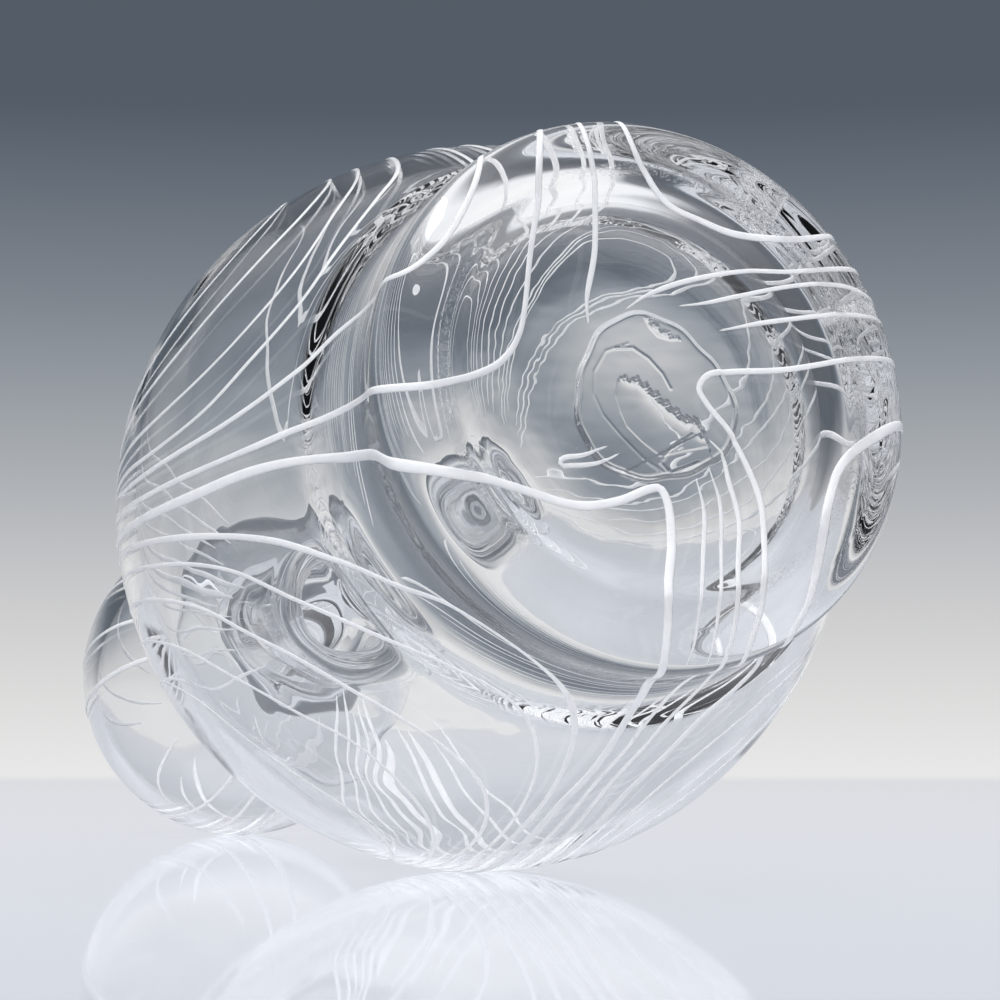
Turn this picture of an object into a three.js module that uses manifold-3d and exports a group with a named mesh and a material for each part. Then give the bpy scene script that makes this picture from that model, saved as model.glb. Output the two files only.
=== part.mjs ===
// Liquor decanter of clear hand-blown glass: a globe body with a heavy heel, a hollow neck,
// a blown ball stopper and threads of opaque white glass trailed over the outside.
// Millimetres, +Z up. The origin is the middle of the foot ring, on the surface it stands on.
// Bearings are degrees about +Z from +X. Reach is the distance along the outside skin,
// measured from the middle of the underside out over the foot ring and up the body.

import * as THREE from 'three';
import { mergeVertices } from 'three/addons/utils/BufferGeometryUtils.js';
import Module from 'manifold-3d';

// Foot and heel
const FOOT_RING_RADIUS = 35;
const FOOT_FLAT_WIDTH = 2.8;
const KICK_UP_HEIGHT = 7.5;
const KICK_UP_POWER = 2.2;
const HEEL_RADIUS = 44.6;
const HEEL_HEIGHT = 4.9;
const WAIST_RADIUS = 43.8;
const WAIST_HEIGHT = 13.4;
const WAIST_EASE = 0.4;

// Belly: an ellipse above its widest line, and a leaner curve below it
const BELLY_RADIUS = 64.5;
const BELLY_HEIGHT = 77.5;
const BELLY_LOWER_REACH = 76;
const BELLY_LOWER_POWER = 1.7;
const BELLY_UPPER_REACH = 68.7;
const BELLY_START = 32;
const BELLY_EASE = 0.33;
const SHOULDER_HEIGHT = 134;
const SHOULDER_EASE = 0.42;

// Neck and lip
const NECK_RADIUS = 14.8;
const NECK_START = 156;
const NECK_TOP_RADIUS = 15.8;
const LIP_START = 194;
const LIP_FLARE = 1.2;
const LIP_FLARE_RISE = 3.6;
const LIP_RADIUS = 20;
const LIP_TOP = 206.1;
const LIP_EDGE = 2;
// Rounding of the lip: how far in from its radius and down from its top, in edge sizes
const LIP_ROUNDING = [[0.45, 2.6], [0, 1.7], [0.15, 0.7], [1, 0]];

// Inside
const WALL = 3.2;
const FLOOR_HUMP = 13.5;
const FLOOR_LOW = 7.8;
const FLOOR_LOW_RADIUS = 30;
const FLOOR_CORNER_RADIUS = 38.5;
const FLOOR_CORNER_HEIGHT = 15;
const FLOOR_TURN = 17;
const BORE_RADIUS = 11;
const SOCKET_BOTTOM = 180;
const SOCKET_TOP_RADIUS = 12.8;
const SOCKET_CHAMFER = 1.2;

// Stopper: a blown ball on a hollow peg that is open at its foot
const BALL_RADIUS = 36.2;
const BALL_SQUASH = 0.92;
const BALL_HEIGHT = 237.2;
const BALL_WALL = 3;
const PEG_BORE = 6;
const PEG_BOTTOM = 182;
const PEG_TOP = 202.5;
const PEG_CLEARANCE = 0.35;
const PEG_EDGE = 1;

// Pontil scar: the pad that the iron left on the underside when it was snapped off
const SCAR_CENTRE = [2, 0.7];
const SCAR_RADIUS = 13.6;
const SCAR_RISE = 0.5;
const SCAR_EDGE = 1.2;
const SCAR_LOBES = 3;
const SCAR_WOBBLE = 0.06;
const SCAR_TURN = 0.6;
const SCAR_BURIED = 1.6;
const SCAR_STEPS = [0.3, 0.6, 0.86, 0.93, 1];
const SCAR_SPOKES = 30;
const CHIP_CENTRE = [2.6, 2.8];
const CHIP_LENGTH = 9.4;
const CHIP_WIDTH = 6.2;
const CHIP_DEPTH = 1.5;
const CHIP_SINK = 0.4;
const CHIP_BEARING = 35;
const SLIVER_CENTRE = [4.4, -11.2];
const SLIVER_SIZE = [6.4, 1.5, 0.9];
const SLIVER_BURIED = 0.6;
const SLIVER_SINK = 0.4;
const SLIVER_BEARING = 28;

// Threads: their cross section, their tips, and how closely they follow the skin
const THREAD_GAP = 0.56;
const THREAD_PROUD = 0.55;
const THREAD_CROWN = 0.24;
const THREAD_TIP_LENGTH = 7;
const THREAD_TIP_WIDTH = 0.45;
const SHORTEST_THREAD = 3;
const TABLE_CLEARANCE = 0.15;
const ROUTE_STEP = 0.5;
const LONGEST_STEP = 7.4;
const LARGEST_TURN = 0.27;

// Roundness: sides of the turned bodies and points of each curve
const VESSEL_SIDES = 48;
const UNDERSIDE_RINGS = 5;
const HEEL_RINGS = 5;
const WAIST_RINGS = 3;
const RISE_RINGS = 3;
const BELLY_RINGS = 12;
const SHOULDER_RINGS = 5;
const INNER_BELLY_RINGS = 11;
const FLOOR_RINGS = 5;
const HUMP_RINGS = 3;
const STOPPER_SIDES = 40;
const BALL_RINGS = 20;

const COLOURS = { clear: 0xe9eff2, white: 0xf3f6fb };

const clearGlass = new THREE.MeshStandardMaterial({ color: COLOURS.clear, roughness: 0.04, metalness: 0 });
const whiteGlass = new THREE.MeshStandardMaterial({ color: COLOURS.white, roughness: 0.25, metalness: 0 });

// Thread routes over the skin, each point as reach and bearing
const THREADS = [
  { name: 'long_trail_left', width: 1.3, route: [
    [204, 180], [168, 180], [146.5, 180], [126.5, 178.5], [100.5, 178], [84.5, 178.5], [74, 179.5],
    [61, 179.5], [51.5, 178.5], [44, 177], [38, 177], [29.5, 181.5], [24.5, 189], [22.5, 203.5],
    [30, 231], [39, 243], [46.5, 250], [57.5, 256], [73, 260], [91.5, 261], [126.5, 266], [168, 266.5],
    [196, 267.5]] },
  { name: 'long_trail_scar', width: 1.9, route: [
    [200, 175.5], [168, 176], [146.5, 176.5], [126.5, 175.5], [100.5, 174.5], [85.5, 174.5],
    [75.5, 173.5], [63.5, 170], [53, 166.5], [46, 162], [38, 155], [29.5, 144], [23, 124.5], [18.5, 108],
    [15.25, 89.5], [15.25, 83.5], [17.5, 81.5], [24.5, 85.5], [35, 92], [47.5, 92], [57.5, 88.5],
    [66.5, 86], [75, 86.5], [84.5, 88.5], [94, 91], [106.5, 92], [136.5, 93], [168, 93.5], [192, 94]] },
  { name: 'long_trail_hairpin', width: 1.2, route: [
    [207, 4], [168, 2], [116.5, 0], [87, 358], [57.5, 354], [46, 352], [37, 351], [24.5, 349.5],
    [16.25, 344.5], [12.25, 342.5], [10.25, 351.5], [11.25, 5], [15.25, 20.5], [19, 31.5], [25, 44.5],
    [31, 57], [38, 67], [46.5, 74], [57.5, 72], [67, 72], [76.5, 78], [89.5, 84], [106.5, 86],
    [134.5, 87.5], [168, 87], [198, 86.5]] },
  { name: 'heel_trail_right', width: 1.9, route: [
    [204, 13.5], [168, 10], [124.5, 7], [91.5, 8.5], [69, 9.5], [57.5, 8], [45, 6], [38, 12], [34, 21],
    [34, 32], [37, 45], [42, 56], [46.5, 63], [57.5, 59], [70.5, 55], [73.5, 60], [76.5, 67.5], [83, 74],
    [94, 80], [116.5, 83], [138.5, 84.5], [168, 83.5], [196, 82.5]] },
  { name: 'heel_trail_left', width: 1.1, route: [
    [138.5, 183], [126.5, 181.5], [97, 183], [84.5, 186], [75, 191], [66.5, 197.5], [55, 200.5],
    [45, 201.5], [41, 210], [41, 221], [45, 233], [57.5, 243], [73, 251.5], [88, 255], [106.5, 258],
    [128.5, 260], [168, 259.5], [200, 259.5]] },
  { name: 'heel_trail_top', width: 1.2, route: [
    [192, 282], [168, 279], [124.5, 277], [96.5, 275], [73, 272], [57.5, 270], [46, 268], [37, 270],
    [31.5, 278.5], [30.5, 290.5], [31.5, 303], [38, 317], [46, 322], [59.5, 324], [82, 322],
    [106.5, 328], [128.5, 334], [168, 332], [207, 329]] },
  { name: 'top_trail', width: 1.1, route: [
    [13.5, 233.5], [17, 240.5], [24, 252.5], [38, 257], [46.5, 259], [57.5, 263], [77.5, 267],
    [101.5, 269], [132.5, 271], [168, 272.5], [198, 274]] },
  { name: 'right_trail_1', width: 1, route: [
    [14, 263.5], [16.25, 276], [20.25, 293], [27.5, 311.5], [34, 323], [46, 331], [59.5, 334], [82, 335],
    [116.5, 341], [168, 340], [204, 338.5]] },
  { name: 'right_trail_2', width: 0.9, route: [
    [16.75, 297], [19.5, 307.5], [24.5, 317], [31.5, 325], [39, 332], [46, 338], [59.5, 342], [87, 345],
    [130.5, 345], [168, 344.5], [196, 344]] },
  { name: 'right_trail_3', width: 0.9, route: [
    [18, 322], [24.5, 330], [33.5, 337], [46, 343], [59.5, 347], [87, 350], [108.5, 352], [168, 352.5],
    [200, 353.5]] },
  { name: 'scar_trail_1', width: 1, route: [
    [13, 32.5], [16, 36.5], [19, 45.5], [25, 56.5], [32, 68.5], [39, 75], [46.5, 79], [57.5, 78.5],
    [68, 79.5], [78, 83], [89.5, 87], [106.5, 89], [122.5, 90]] },
  { name: 'scar_trail_2', width: 0.8, route: [
    [15.5, 47.5], [21, 57.5], [30, 72], [39, 80], [46, 83]] },
  { name: 'scar_trail_3', width: 0.8, route: [
    [15.5, 58.5], [20.75, 66], [28.5, 77], [37, 84], [46, 87.5]] },
  { name: 'scar_hairpin', width: 1, route: [
    [10.7, 127], [12.6, 132.1], [15.4, 137.7], [17.8, 142.3], [19.1, 142.5], [19.3, 140.4],
    [17.9, 137.3], [15.4, 130.5], [13, 122.8], [10.7, 115.2]] },
  { name: 'lower_swag_1', width: 1.2, route: [
    [192, 171], [168, 172.5], [142.5, 173.5], [126.5, 172.5], [100.5, 168], [84.5, 162], [74, 153],
    [66, 142.5], [59, 133.5], [56.5, 122.5], [59.5, 111.5], [67.5, 100.5], [77, 95], [92, 94],
    [108.5, 95], [142.5, 95.5], [168, 96.5], [207, 97.5]] },
  { name: 'lower_swag_2', width: 0.8, route: [
    [198, 166.5], [168, 168.5], [140, 170], [111.5, 166.5], [96, 161], [85, 151], [75.5, 136],
    [71.5, 124.5], [71, 114], [75, 105], [84.5, 99], [100.5, 97], [134.5, 98], [168, 99], [204, 101]] },
  { name: 'lower_swag_3', width: 0.9, route: [
    [196, 160.5], [168, 163.5], [144.5, 165.5], [122.5, 163.5], [107.5, 158.5], [98.5, 151], [92, 143],
    [88, 134], [86, 125], [87, 114.5], [93, 105], [104.5, 100.5], [120.5, 100], [144.5, 100.5],
    [168, 102], [200, 104]] },
  { name: 'lower_swag_4', width: 0.8, route: [
    [192, 152.5], [168, 156.5], [142.5, 159.5], [121.5, 156], [107.5, 146], [100.5, 136], [97, 127],
    [99.5, 117], [106.5, 109], [120.5, 103.5], [138.5, 103], [168, 105], [207, 107.5]] },
  { name: 'lower_swag_5', width: 0.8, route: [
    [198, 143], [168, 148.5], [146.5, 152.5], [135, 152], [123.5, 147], [117.5, 138], [114.5, 128],
    [114.5, 119], [119.5, 111.5], [132, 106.5], [146.5, 106], [168, 108.5], [204, 111.5]] },
  { name: 'upper_swag_1', width: 0.9, route: [
    [196, 185.5], [168, 184.5], [144.5, 184], [126.5, 184], [111.5, 184.5], [97, 187.5], [86.5, 194.5],
    [79, 205], [77.5, 217], [80.5, 232.5], [86.5, 242], [99, 248.5], [124.5, 254.5], [168, 253.5],
    [200, 252]] },
  { name: 'upper_swag_2', width: 0.8, route: [
    [192, 189.5], [168, 188], [138.5, 187], [123.5, 188], [108.5, 190.5], [97, 195], [88.5, 202.5],
    [84, 213], [86.5, 227], [94, 238], [108.5, 245.5], [132.5, 250.5], [168, 249], [207, 246.5]] },
  { name: 'upper_swag_3', width: 0.9, route: [
    [198, 195], [168, 192.5], [144.5, 191], [126.5, 193.5], [111.5, 199], [101, 208], [96, 218.5],
    [96.5, 228.5], [104, 238], [118.5, 244], [142.5, 247], [168, 245], [204, 242]] },
  { name: 'upper_swag_4', width: 0.8, route: [
    [196, 201], [168, 198], [140.5, 195.5], [125.5, 200], [114.5, 208], [108.5, 218], [110.5, 229],
    [120.5, 237], [136.5, 241], [168, 238], [200, 233.5]] },
  { name: 'far_swag_1', width: 0.9, route: [
    [89.5, 37.5], [84.5, 52.5], [87.5, 66], [96, 74], [108.5, 77.5], [132.5, 79.5], [168, 78], [192, 76]] },
  { name: 'far_swag_2', width: 0.8, route: [
    [207, 20.5], [168, 15.5], [136.5, 12], [116.5, 17], [103.5, 31], [98, 46.5], [102, 60],
    [110.5, 69.5], [122, 73.5], [142.5, 75], [168, 73], [198, 70]] },
];

// Swags on the side away from the eye: nested half loops, and their legs up to the shoulder.
// Each next loop hangs higher and is narrower. Half and narrowing are degrees of bearing.
const BACK_SWAGS = {
  count: 3, width: 0.9, middle: 299,
  lowest: 72.5, spacing: 15, hang: 22, sweep: 80, points: 7, half: 15, narrowing: 1.6,
  legs: [
    { reach: 136.5, stagger: 4, half: 15, narrowing: 1.6 },
    { reach: 168, stagger: 0, half: 13.5, narrowing: 2.8 },
    { reach: 200, stagger: -4, half: 12, narrowing: 4 },
  ],
};

// Threads on the ball: bearing at the equator, how far they lean by the crown, lowest and highest latitude
const BALL_THREAD_POINTS = 120;
const BALL_THREADS = [
  { bearing: 90, lean: 16, from: -56, to: 66, width: 1.5 },
  { bearing: 103, lean: 13, from: -62, to: 52, width: 1.1 },
  { bearing: 118, lean: 15, from: -50, to: 70, width: 1.2 },
  { bearing: 172, lean: -12, from: -60, to: 58, width: 1.4 },
  { bearing: 190, lean: -15, from: -48, to: 70, width: 1 },
  { bearing: 214, lean: -13, from: -58, to: 62, width: 1.2 },
];

const DEGREE = Math.PI / 180;

function cubic(a, b, c, d, pieces) {
  const curve = new THREE.CubicBezierCurve(a, b, c, d);
  return curve.getPoints(pieces).slice(1);
}

function vec(x, y) {
  return new THREE.Vector2(x, y);
}

// Radius of the belly at a height
function bellyRadius(height) {
  const below = height < BELLY_HEIGHT;
  const away = Math.abs(height - BELLY_HEIGHT) / (below ? BELLY_LOWER_REACH : BELLY_UPPER_REACH);
  return BELLY_RADIUS * Math.sqrt(1 - away ** (below ? BELLY_LOWER_POWER : 2));
}

// How fast the belly widens per millimetre of height
function bellySlope(height) {
  const small = 0.05;
  return (bellyRadius(height + small) - bellyRadius(height - small)) / (2 * small);
}

function bellyArc(from, to, pieces, inset = 0) {
  const points = [];
  for (let i = 0; i <= pieces; i += 1) {
    const height = from + (to - from) * i / pieces;
    const slope = bellySlope(height);
    const length = Math.hypot(1, slope);
    points.push(vec(bellyRadius(height) - inset / length, height + inset * slope / length));
  }
  return points;
}

// Height of the hollow underside at a radius
function kickUp(radius) {
  const inner = FOOT_RING_RADIUS - FOOT_FLAT_WIDTH / 2;
  return KICK_UP_HEIGHT * Math.max(0, 1 - (radius / inner) ** KICK_UP_POWER);
}

// Outside skin from the middle of the underside to the foot of the neck
function skinOutline() {
  const inner = FOOT_RING_RADIUS - FOOT_FLAT_WIDTH / 2;
  const outer = FOOT_RING_RADIUS + FOOT_FLAT_WIDTH / 2;
  const points = [];
  for (let i = 0; i <= UNDERSIDE_RINGS; i += 1) {
    const radius = inner * Math.sqrt(i / UNDERSIDE_RINGS);
    points.push(vec(radius, kickUp(radius)));
  }
  points.push(vec(outer, 0));
  for (let i = 1; i <= HEEL_RINGS; i += 1) {
    const angle = (i / HEEL_RINGS) * Math.PI / 2;
    points.push(vec(outer + (HEEL_RADIUS - outer) * Math.sin(angle), HEEL_HEIGHT * (1 - Math.cos(angle))));
  }
  const heel = vec(HEEL_RADIUS, HEEL_HEIGHT);
  const waist = vec(WAIST_RADIUS, WAIST_HEIGHT);
  const pull = WAIST_EASE * (WAIST_HEIGHT - HEEL_HEIGHT);
  const heelLead = vec(HEEL_RADIUS, HEEL_HEIGHT + pull);
  const waistLead = vec(WAIST_RADIUS, WAIST_HEIGHT - pull);
  points.push(...cubic(heel, heelLead, waistLead, waist, WAIST_RINGS));
  const start = vec(bellyRadius(BELLY_START), BELLY_START);
  const lead = BELLY_EASE * (BELLY_START - WAIST_HEIGHT);
  const belowStart = vec(start.x - lead * bellySlope(BELLY_START), BELLY_START - lead);
  points.push(...cubic(waist, vec(WAIST_RADIUS, WAIST_HEIGHT + lead), belowStart, start, RISE_RINGS));
  points.push(...bellyArc(BELLY_START, SHOULDER_HEIGHT, BELLY_RINGS).slice(1));
  return points;
}

// Shoulder that turns from the belly into the neck, inset for the inside of the wall
function shoulder(radius, inset) {
  const [from] = bellyArc(SHOULDER_HEIGHT, SHOULDER_HEIGHT, 1, inset);
  const slope = bellySlope(SHOULDER_HEIGHT);
  const rise = SHOULDER_EASE * (NECK_START - SHOULDER_HEIGHT);
  const bend = vec(from.x + rise * slope, from.y + rise);
  return cubic(from, bend, vec(radius, NECK_START - rise), vec(radius, NECK_START), SHOULDER_RINGS);
}

function lipOutline() {
  return [
    vec(NECK_TOP_RADIUS, LIP_START),
    vec(NECK_TOP_RADIUS + LIP_FLARE, LIP_START + LIP_FLARE_RISE),
    ...LIP_ROUNDING.map(([inward, down]) => vec(LIP_RADIUS - inward * LIP_EDGE, LIP_TOP - down * LIP_EDGE)),
    vec(SOCKET_TOP_RADIUS + SOCKET_CHAMFER, LIP_TOP),
    vec(SOCKET_TOP_RADIUS, LIP_TOP - SOCKET_CHAMFER),
    vec(BORE_RADIUS, SOCKET_BOTTOM),
  ];
}

// Inside of the wall from the neck down to the middle of the floor
function insideOutline() {
  const throat = shoulder(BORE_RADIUS, WALL).reverse();
  const lowest = FLOOR_CORNER_HEIGHT + FLOOR_TURN;
  const belly = bellyArc(lowest, SHOULDER_HEIGHT, INNER_BELLY_RINGS, WALL).reverse();
  const wallFoot = belly[belly.length - 1];
  const wallLead = vec(FLOOR_CORNER_RADIUS + WALL, FLOOR_CORNER_HEIGHT - WALL / 2);
  const floorLead = vec(FLOOR_CORNER_RADIUS, FLOOR_LOW + WALL / 2);
  const low = vec(FLOOR_LOW_RADIUS, FLOOR_LOW);
  const bowl = cubic(wallFoot, wallLead, floorLead, low, FLOOR_RINGS);
  const humpFoot = vec(0.6 * FLOOR_LOW_RADIUS, FLOOR_LOW);
  const humpTop = vec(0.4 * FLOOR_LOW_RADIUS, FLOOR_HUMP);
  const hump = cubic(low, humpFoot, humpTop, vec(0, FLOOR_HUMP), HUMP_RINGS);
  return [...throat, ...belly, ...bowl, ...hump];
}

function lathe(points, sides) {
  const geometry = new THREE.LatheGeometry(points, sides);
  geometry.rotateX(Math.PI / 2);
  return geometry;
}

// Radius of the scar's uneven edge in a direction
function scarEdge(angle) {
  return SCAR_RADIUS * (1 + SCAR_WOBBLE * Math.sin(SCAR_LOBES * angle + SCAR_TURN));
}

// How far the scar's pad stands out below the underside
function scarRise(x, y) {
  const [cx, cy] = SCAR_CENTRE;
  const inside = scarEdge(Math.atan2(y - cy, x - cx)) - Math.hypot(x - cx, y - cy);
  return SCAR_RISE * THREE.MathUtils.smoothstep(inside, 0, SCAR_EDGE);
}

// The pad as a thin cap: its lower face follows the scar, its upper face lies in the glass
function scarPad() {
  const [cx, cy] = SCAR_CENTRE;
  const place = (share, angle, buried) => {
    const x = cx + share * scarEdge(angle) * Math.cos(angle);
    const y = cy + share * scarEdge(angle) * Math.sin(angle);
    const height = kickUp(Math.hypot(x, y));
    return [x, y, buried ? height + SCAR_BURIED : height - scarRise(x, y)];
  };
  const rings = SCAR_STEPS.map((share) => [share, false]);
  rings.push(...SCAR_STEPS.map((share) => [share, true]).reverse());
  const positions = [place(0, 0, false)];
  for (const [share, buried] of rings) {
    for (let i = 0; i < SCAR_SPOKES; i += 1) {
      positions.push(place(share, i / SCAR_SPOKES * 2 * Math.PI, buried));
    }
  }
  positions.push(place(0, 0, true));
  const last = positions.length - 1;
  const outerRing = rings.length - 1;
  const at = (ring, spoke) => 1 + ring * SCAR_SPOKES + spoke % SCAR_SPOKES;
  const index = [];
  for (let i = 0; i < SCAR_SPOKES; i += 1) {
    index.push(0, at(0, i + 1), at(0, i));
    index.push(last, at(outerRing, i), at(outerRing, i + 1));
    for (let ring = 0; ring < outerRing; ring += 1) {
      index.push(at(ring, i), at(ring, i + 1), at(ring + 1, i + 1));
      index.push(at(ring, i), at(ring + 1, i + 1), at(ring + 1, i));
    }
  }
  return fromArrays(positions, index);
}

function fromArrays(positions, index) {
  const geometry = new THREE.BufferGeometry();
  geometry.setAttribute('position', new THREE.Float32BufferAttribute(positions.flat(), 3));
  geometry.setIndex(index);
  geometry.computeVertexNormals();
  return geometry;
}

// The shell-shaped flake that came away with the iron, as the solid to be cut out
function chipCutter() {
  const geometry = new THREE.SphereGeometry(1, 14, 8);
  geometry.scale(CHIP_LENGTH, CHIP_WIDTH, CHIP_DEPTH + SCAR_RISE);
  geometry.rotateZ(CHIP_BEARING * DEGREE);
  const [x, y] = CHIP_CENTRE;
  geometry.translate(x, y, kickUp(Math.hypot(x, y)) - SCAR_RISE - CHIP_SINK);
  return geometry;
}

// A splinter of glass left standing at the edge of the scar
function sliver() {
  const geometry = new THREE.ConeGeometry(1, 2, 5);
  const [length, width, proud] = SLIVER_SIZE;
  geometry.rotateZ(-Math.PI / 2);
  geometry.scale(length / 2, width / 2, proud + SLIVER_BURIED);
  geometry.rotateZ(SLIVER_BEARING * DEGREE);
  const [x, y] = SLIVER_CENTRE;
  geometry.translate(x, y, kickUp(Math.hypot(x, y)) - SCAR_RISE + SLIVER_SINK);
  return geometry;
}

const wasm = await Module();
wasm.setup();

function toSolid(geometry) {
  const bare = geometry.clone();
  for (const name of Object.keys(bare.attributes)) {
    if (name !== 'position') bare.deleteAttribute(name);
  }
  const merged = mergeVertices(bare, 1e-5);
  const triVerts = [];
  const corners = merged.index.array;
  for (let i = 0; i < corners.length; i += 3) {
    const [a, b, c] = corners.slice(i, i + 3);
    if (a !== b && b !== c && c !== a) triVerts.push(a, b, c);
  }
  return new wasm.Manifold(new wasm.Mesh({
    numProp: 3,
    vertProperties: new Float32Array(merged.attributes.position.array),
    triVerts: new Uint32Array(triVerts),
  }));
}

function toGeometry(solid) {
  const mesh = solid.getMesh();
  const geometry = new THREE.BufferGeometry();
  geometry.setAttribute('position', new THREE.BufferAttribute(mesh.vertProperties.slice(), 3));
  geometry.setIndex(new THREE.BufferAttribute(mesh.triVerts.slice(), 1));
  geometry.computeVertexNormals();
  return geometry;
}

function vesselGeometry() {
  const outline = [...skinOutline(), ...shoulder(NECK_RADIUS, 0), ...lipOutline(), ...insideOutline()];
  const blown = toSolid(lathe(outline, VESSEL_SIDES));
  const scarred = blown.add(toSolid(scarPad())).subtract(toSolid(chipCutter()));
  return toGeometry(scarred.add(toSolid(sliver())));
}

// Radius of the ground socket at a height
function socketRadius(height) {
  const share = (height - SOCKET_BOTTOM) / (LIP_TOP - SOCKET_CHAMFER - SOCKET_BOTTOM);
  return BORE_RADIUS + (SOCKET_TOP_RADIUS - BORE_RADIUS) * THREE.MathUtils.clamp(share, 0, 1);
}

// Half of a squashed ball's outline from a radius below up to the axis
function ballArc(ballRadius, fromRadius) {
  const points = [];
  const from = Math.asin(fromRadius / ballRadius);
  for (let i = 0; i <= BALL_RINGS; i += 1) {
    const angle = from + (Math.PI - from) * i / BALL_RINGS;
    const height = BALL_HEIGHT - BALL_SQUASH * ballRadius * Math.cos(angle);
    points.push(vec(ballRadius * Math.sin(angle), height));
  }
  points[BALL_RINGS].x = 0;
  return points;
}

function stopperGeometry() {
  const pegTopRadius = socketRadius(PEG_TOP) - PEG_CLEARANCE;
  const peg = [
    vec(PEG_BORE, PEG_BOTTOM),
    vec(socketRadius(PEG_BOTTOM) - PEG_CLEARANCE - PEG_EDGE, PEG_BOTTOM),
    vec(socketRadius(PEG_BOTTOM + PEG_EDGE) - PEG_CLEARANCE, PEG_BOTTOM + PEG_EDGE),
    vec(pegTopRadius, PEG_TOP),
  ];
  const outside = ballArc(BALL_RADIUS, pegTopRadius);
  const inside = ballArc(BALL_RADIUS - BALL_WALL, PEG_BORE).reverse();
  const outline = [...peg, ...outside, ...inside, vec(PEG_BORE, PEG_BOTTOM)];
  return toGeometry(toSolid(lathe(outline, STOPPER_SIDES)));
}

// The skin as a measured curve, for laying threads on it
const skin = measure([...skinOutline(), ...shoulder(NECK_RADIUS, 0)]);

// Reach and outward direction at each point of an outline
function measure(points) {
  const reach = [0];
  const outward = [];
  for (let i = 0; i < points.length; i += 1) {
    if (i > 0) reach.push(reach[i - 1] + points[i].distanceTo(points[i - 1]));
    const before = points[Math.max(i - 1, 0)];
    const along = points[Math.min(i + 1, points.length - 1)].clone().sub(before).normalize();
    outward.push(vec(along.y, -along.x));
  }
  outward[0].set(0, -1);
  return { points, reach, outward };
}

// Place and outward direction on the skin, given reach and bearing in radians
function onSkin(reach, bearing) {
  let i = skin.reach.findIndex((value) => value > reach);
  if (i < 1) i = skin.reach.length - 1;
  const share = (reach - skin.reach[i - 1]) / (skin.reach[i] - skin.reach[i - 1]);
  const place = skin.points[i - 1].clone().lerp(skin.points[i], share);
  const outward = skin.outward[i - 1].clone().lerp(skin.outward[i], share).normalize();
  const cos = Math.cos(bearing);
  const sin = Math.sin(bearing);
  const point = new THREE.Vector3(place.x * cos, place.x * sin, place.y);
  if (reach < FOOT_RING_RADIUS) point.z -= scarRise(point.x, point.y);
  return { point, normal: new THREE.Vector3(outward.x * cos, outward.x * sin, outward.y) };
}

// A route drawn on the flattened skin, as closely spaced places on the real one
function walk(route) {
  const flat = route.map(([reach, bearing]) => new THREE.Vector3(
    reach * Math.cos(bearing * DEGREE), reach * Math.sin(bearing * DEGREE), 0));
  const curve = new THREE.CatmullRomCurve3(flat, false, 'centripetal');
  const count = Math.ceil(curve.getLength() / ROUTE_STEP);
  return curve.getSpacedPoints(count).map((p) => onSkin(Math.hypot(p.x, p.y), Math.atan2(p.y, p.x)));
}

// Fewer places: a new one where the skin or the thread has turned, or after the longest step
function thin(places) {
  const direction = (i) => places[Math.min(i + 1, places.length - 1)].point.clone()
    .sub(places[Math.max(i - 1, 0)].point).normalize();
  const kept = [{ ...places[0], along: direction(0) }];
  for (let i = 1; i < places.length - 1; i += 1) {
    const last = kept[kept.length - 1];
    const along = direction(i);
    const turned = Math.max(along.angleTo(last.along), places[i].normal.angleTo(last.normal));
    const far = places[i].point.distanceTo(last.point) > LONGEST_STEP;
    if (far || turned > LARGEST_TURN) kept.push({ ...places[i], along });
  }
  kept.push({ ...places[places.length - 1], along: direction(places.length - 1) });
  return kept;
}

// Lofts a half-round bead along the places, thinner towards its pulled tips
function beadGeometry(places, width) {
  const stations = thin(places);
  const distance = [0];
  for (let i = 1; i < stations.length; i += 1) {
    distance.push(distance[i - 1] + stations[i].point.distanceTo(stations[i - 1].point));
  }
  const total = distance[distance.length - 1];
  const tipLength = THREE.MathUtils.clamp(total / 3, 1, THREAD_TIP_LENGTH);
  const section = [[-0.5, 0], [-THREAD_CROWN, 1], [THREAD_CROWN, 1], [0.5, 0]];
  const positions = [];
  stations.forEach(({ point, normal, along }, i) => {
    const toTip = Math.min(distance[i], total - distance[i]) / tipLength;
    const swell = THREAD_TIP_WIDTH + (1 - THREAD_TIP_WIDTH) * THREE.MathUtils.smoothstep(toTip, 0, 1);
    const across = new THREE.Vector3().crossVectors(normal, along).normalize();
    for (const [side, lift] of section) {
      const p = point.clone()
        .addScaledVector(across, side * width * swell)
        .addScaledVector(normal, THREAD_GAP + lift * width * THREAD_PROUD * swell);
      positions.push(p.toArray());
    }
  });
  const sides = section.length;
  const index = [];
  for (let i = 0; i < stations.length - 1; i += 1) {
    for (let j = 0; j < sides; j += 1) {
      const a = i * sides + j;
      const b = i * sides + (j + 1) % sides;
      index.push(a, a + sides, b, b, a + sides, b + sides);
    }
  }
  const end = (stations.length - 1) * sides;
  for (let j = 1; j < sides - 1; j += 1) {
    index.push(0, j, j + 1);
    index.push(end, end + j + 1, end + j);
  }
  return fromArrays(positions, index);
}

// Splits a thread where it would be worn away by the surface that the foot ring stands on
function clearRuns(places, width) {
  const needed = THREAD_GAP + width * THREAD_PROUD;
  const runs = [[]];
  for (const place of places) {
    const bottom = place.point.z + Math.min(0, place.normal.z) * needed;
    if (bottom > TABLE_CLEARANCE) runs[runs.length - 1].push(place);
    else runs.push([]);
  }
  return runs.filter((run) => run.length * ROUTE_STEP > SHORTEST_THREAD);
}

function addThread(group, name, route, width) {
  const runs = clearRuns(walk(route), width);
  runs.forEach((run, i) => {
    const mesh = new THREE.Mesh(beadGeometry(run, width), whiteGlass);
    mesh.name = runs.length > 1 ? `${name}_${i + 1}` : name;
    group.add(mesh);
  });
}

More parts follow.
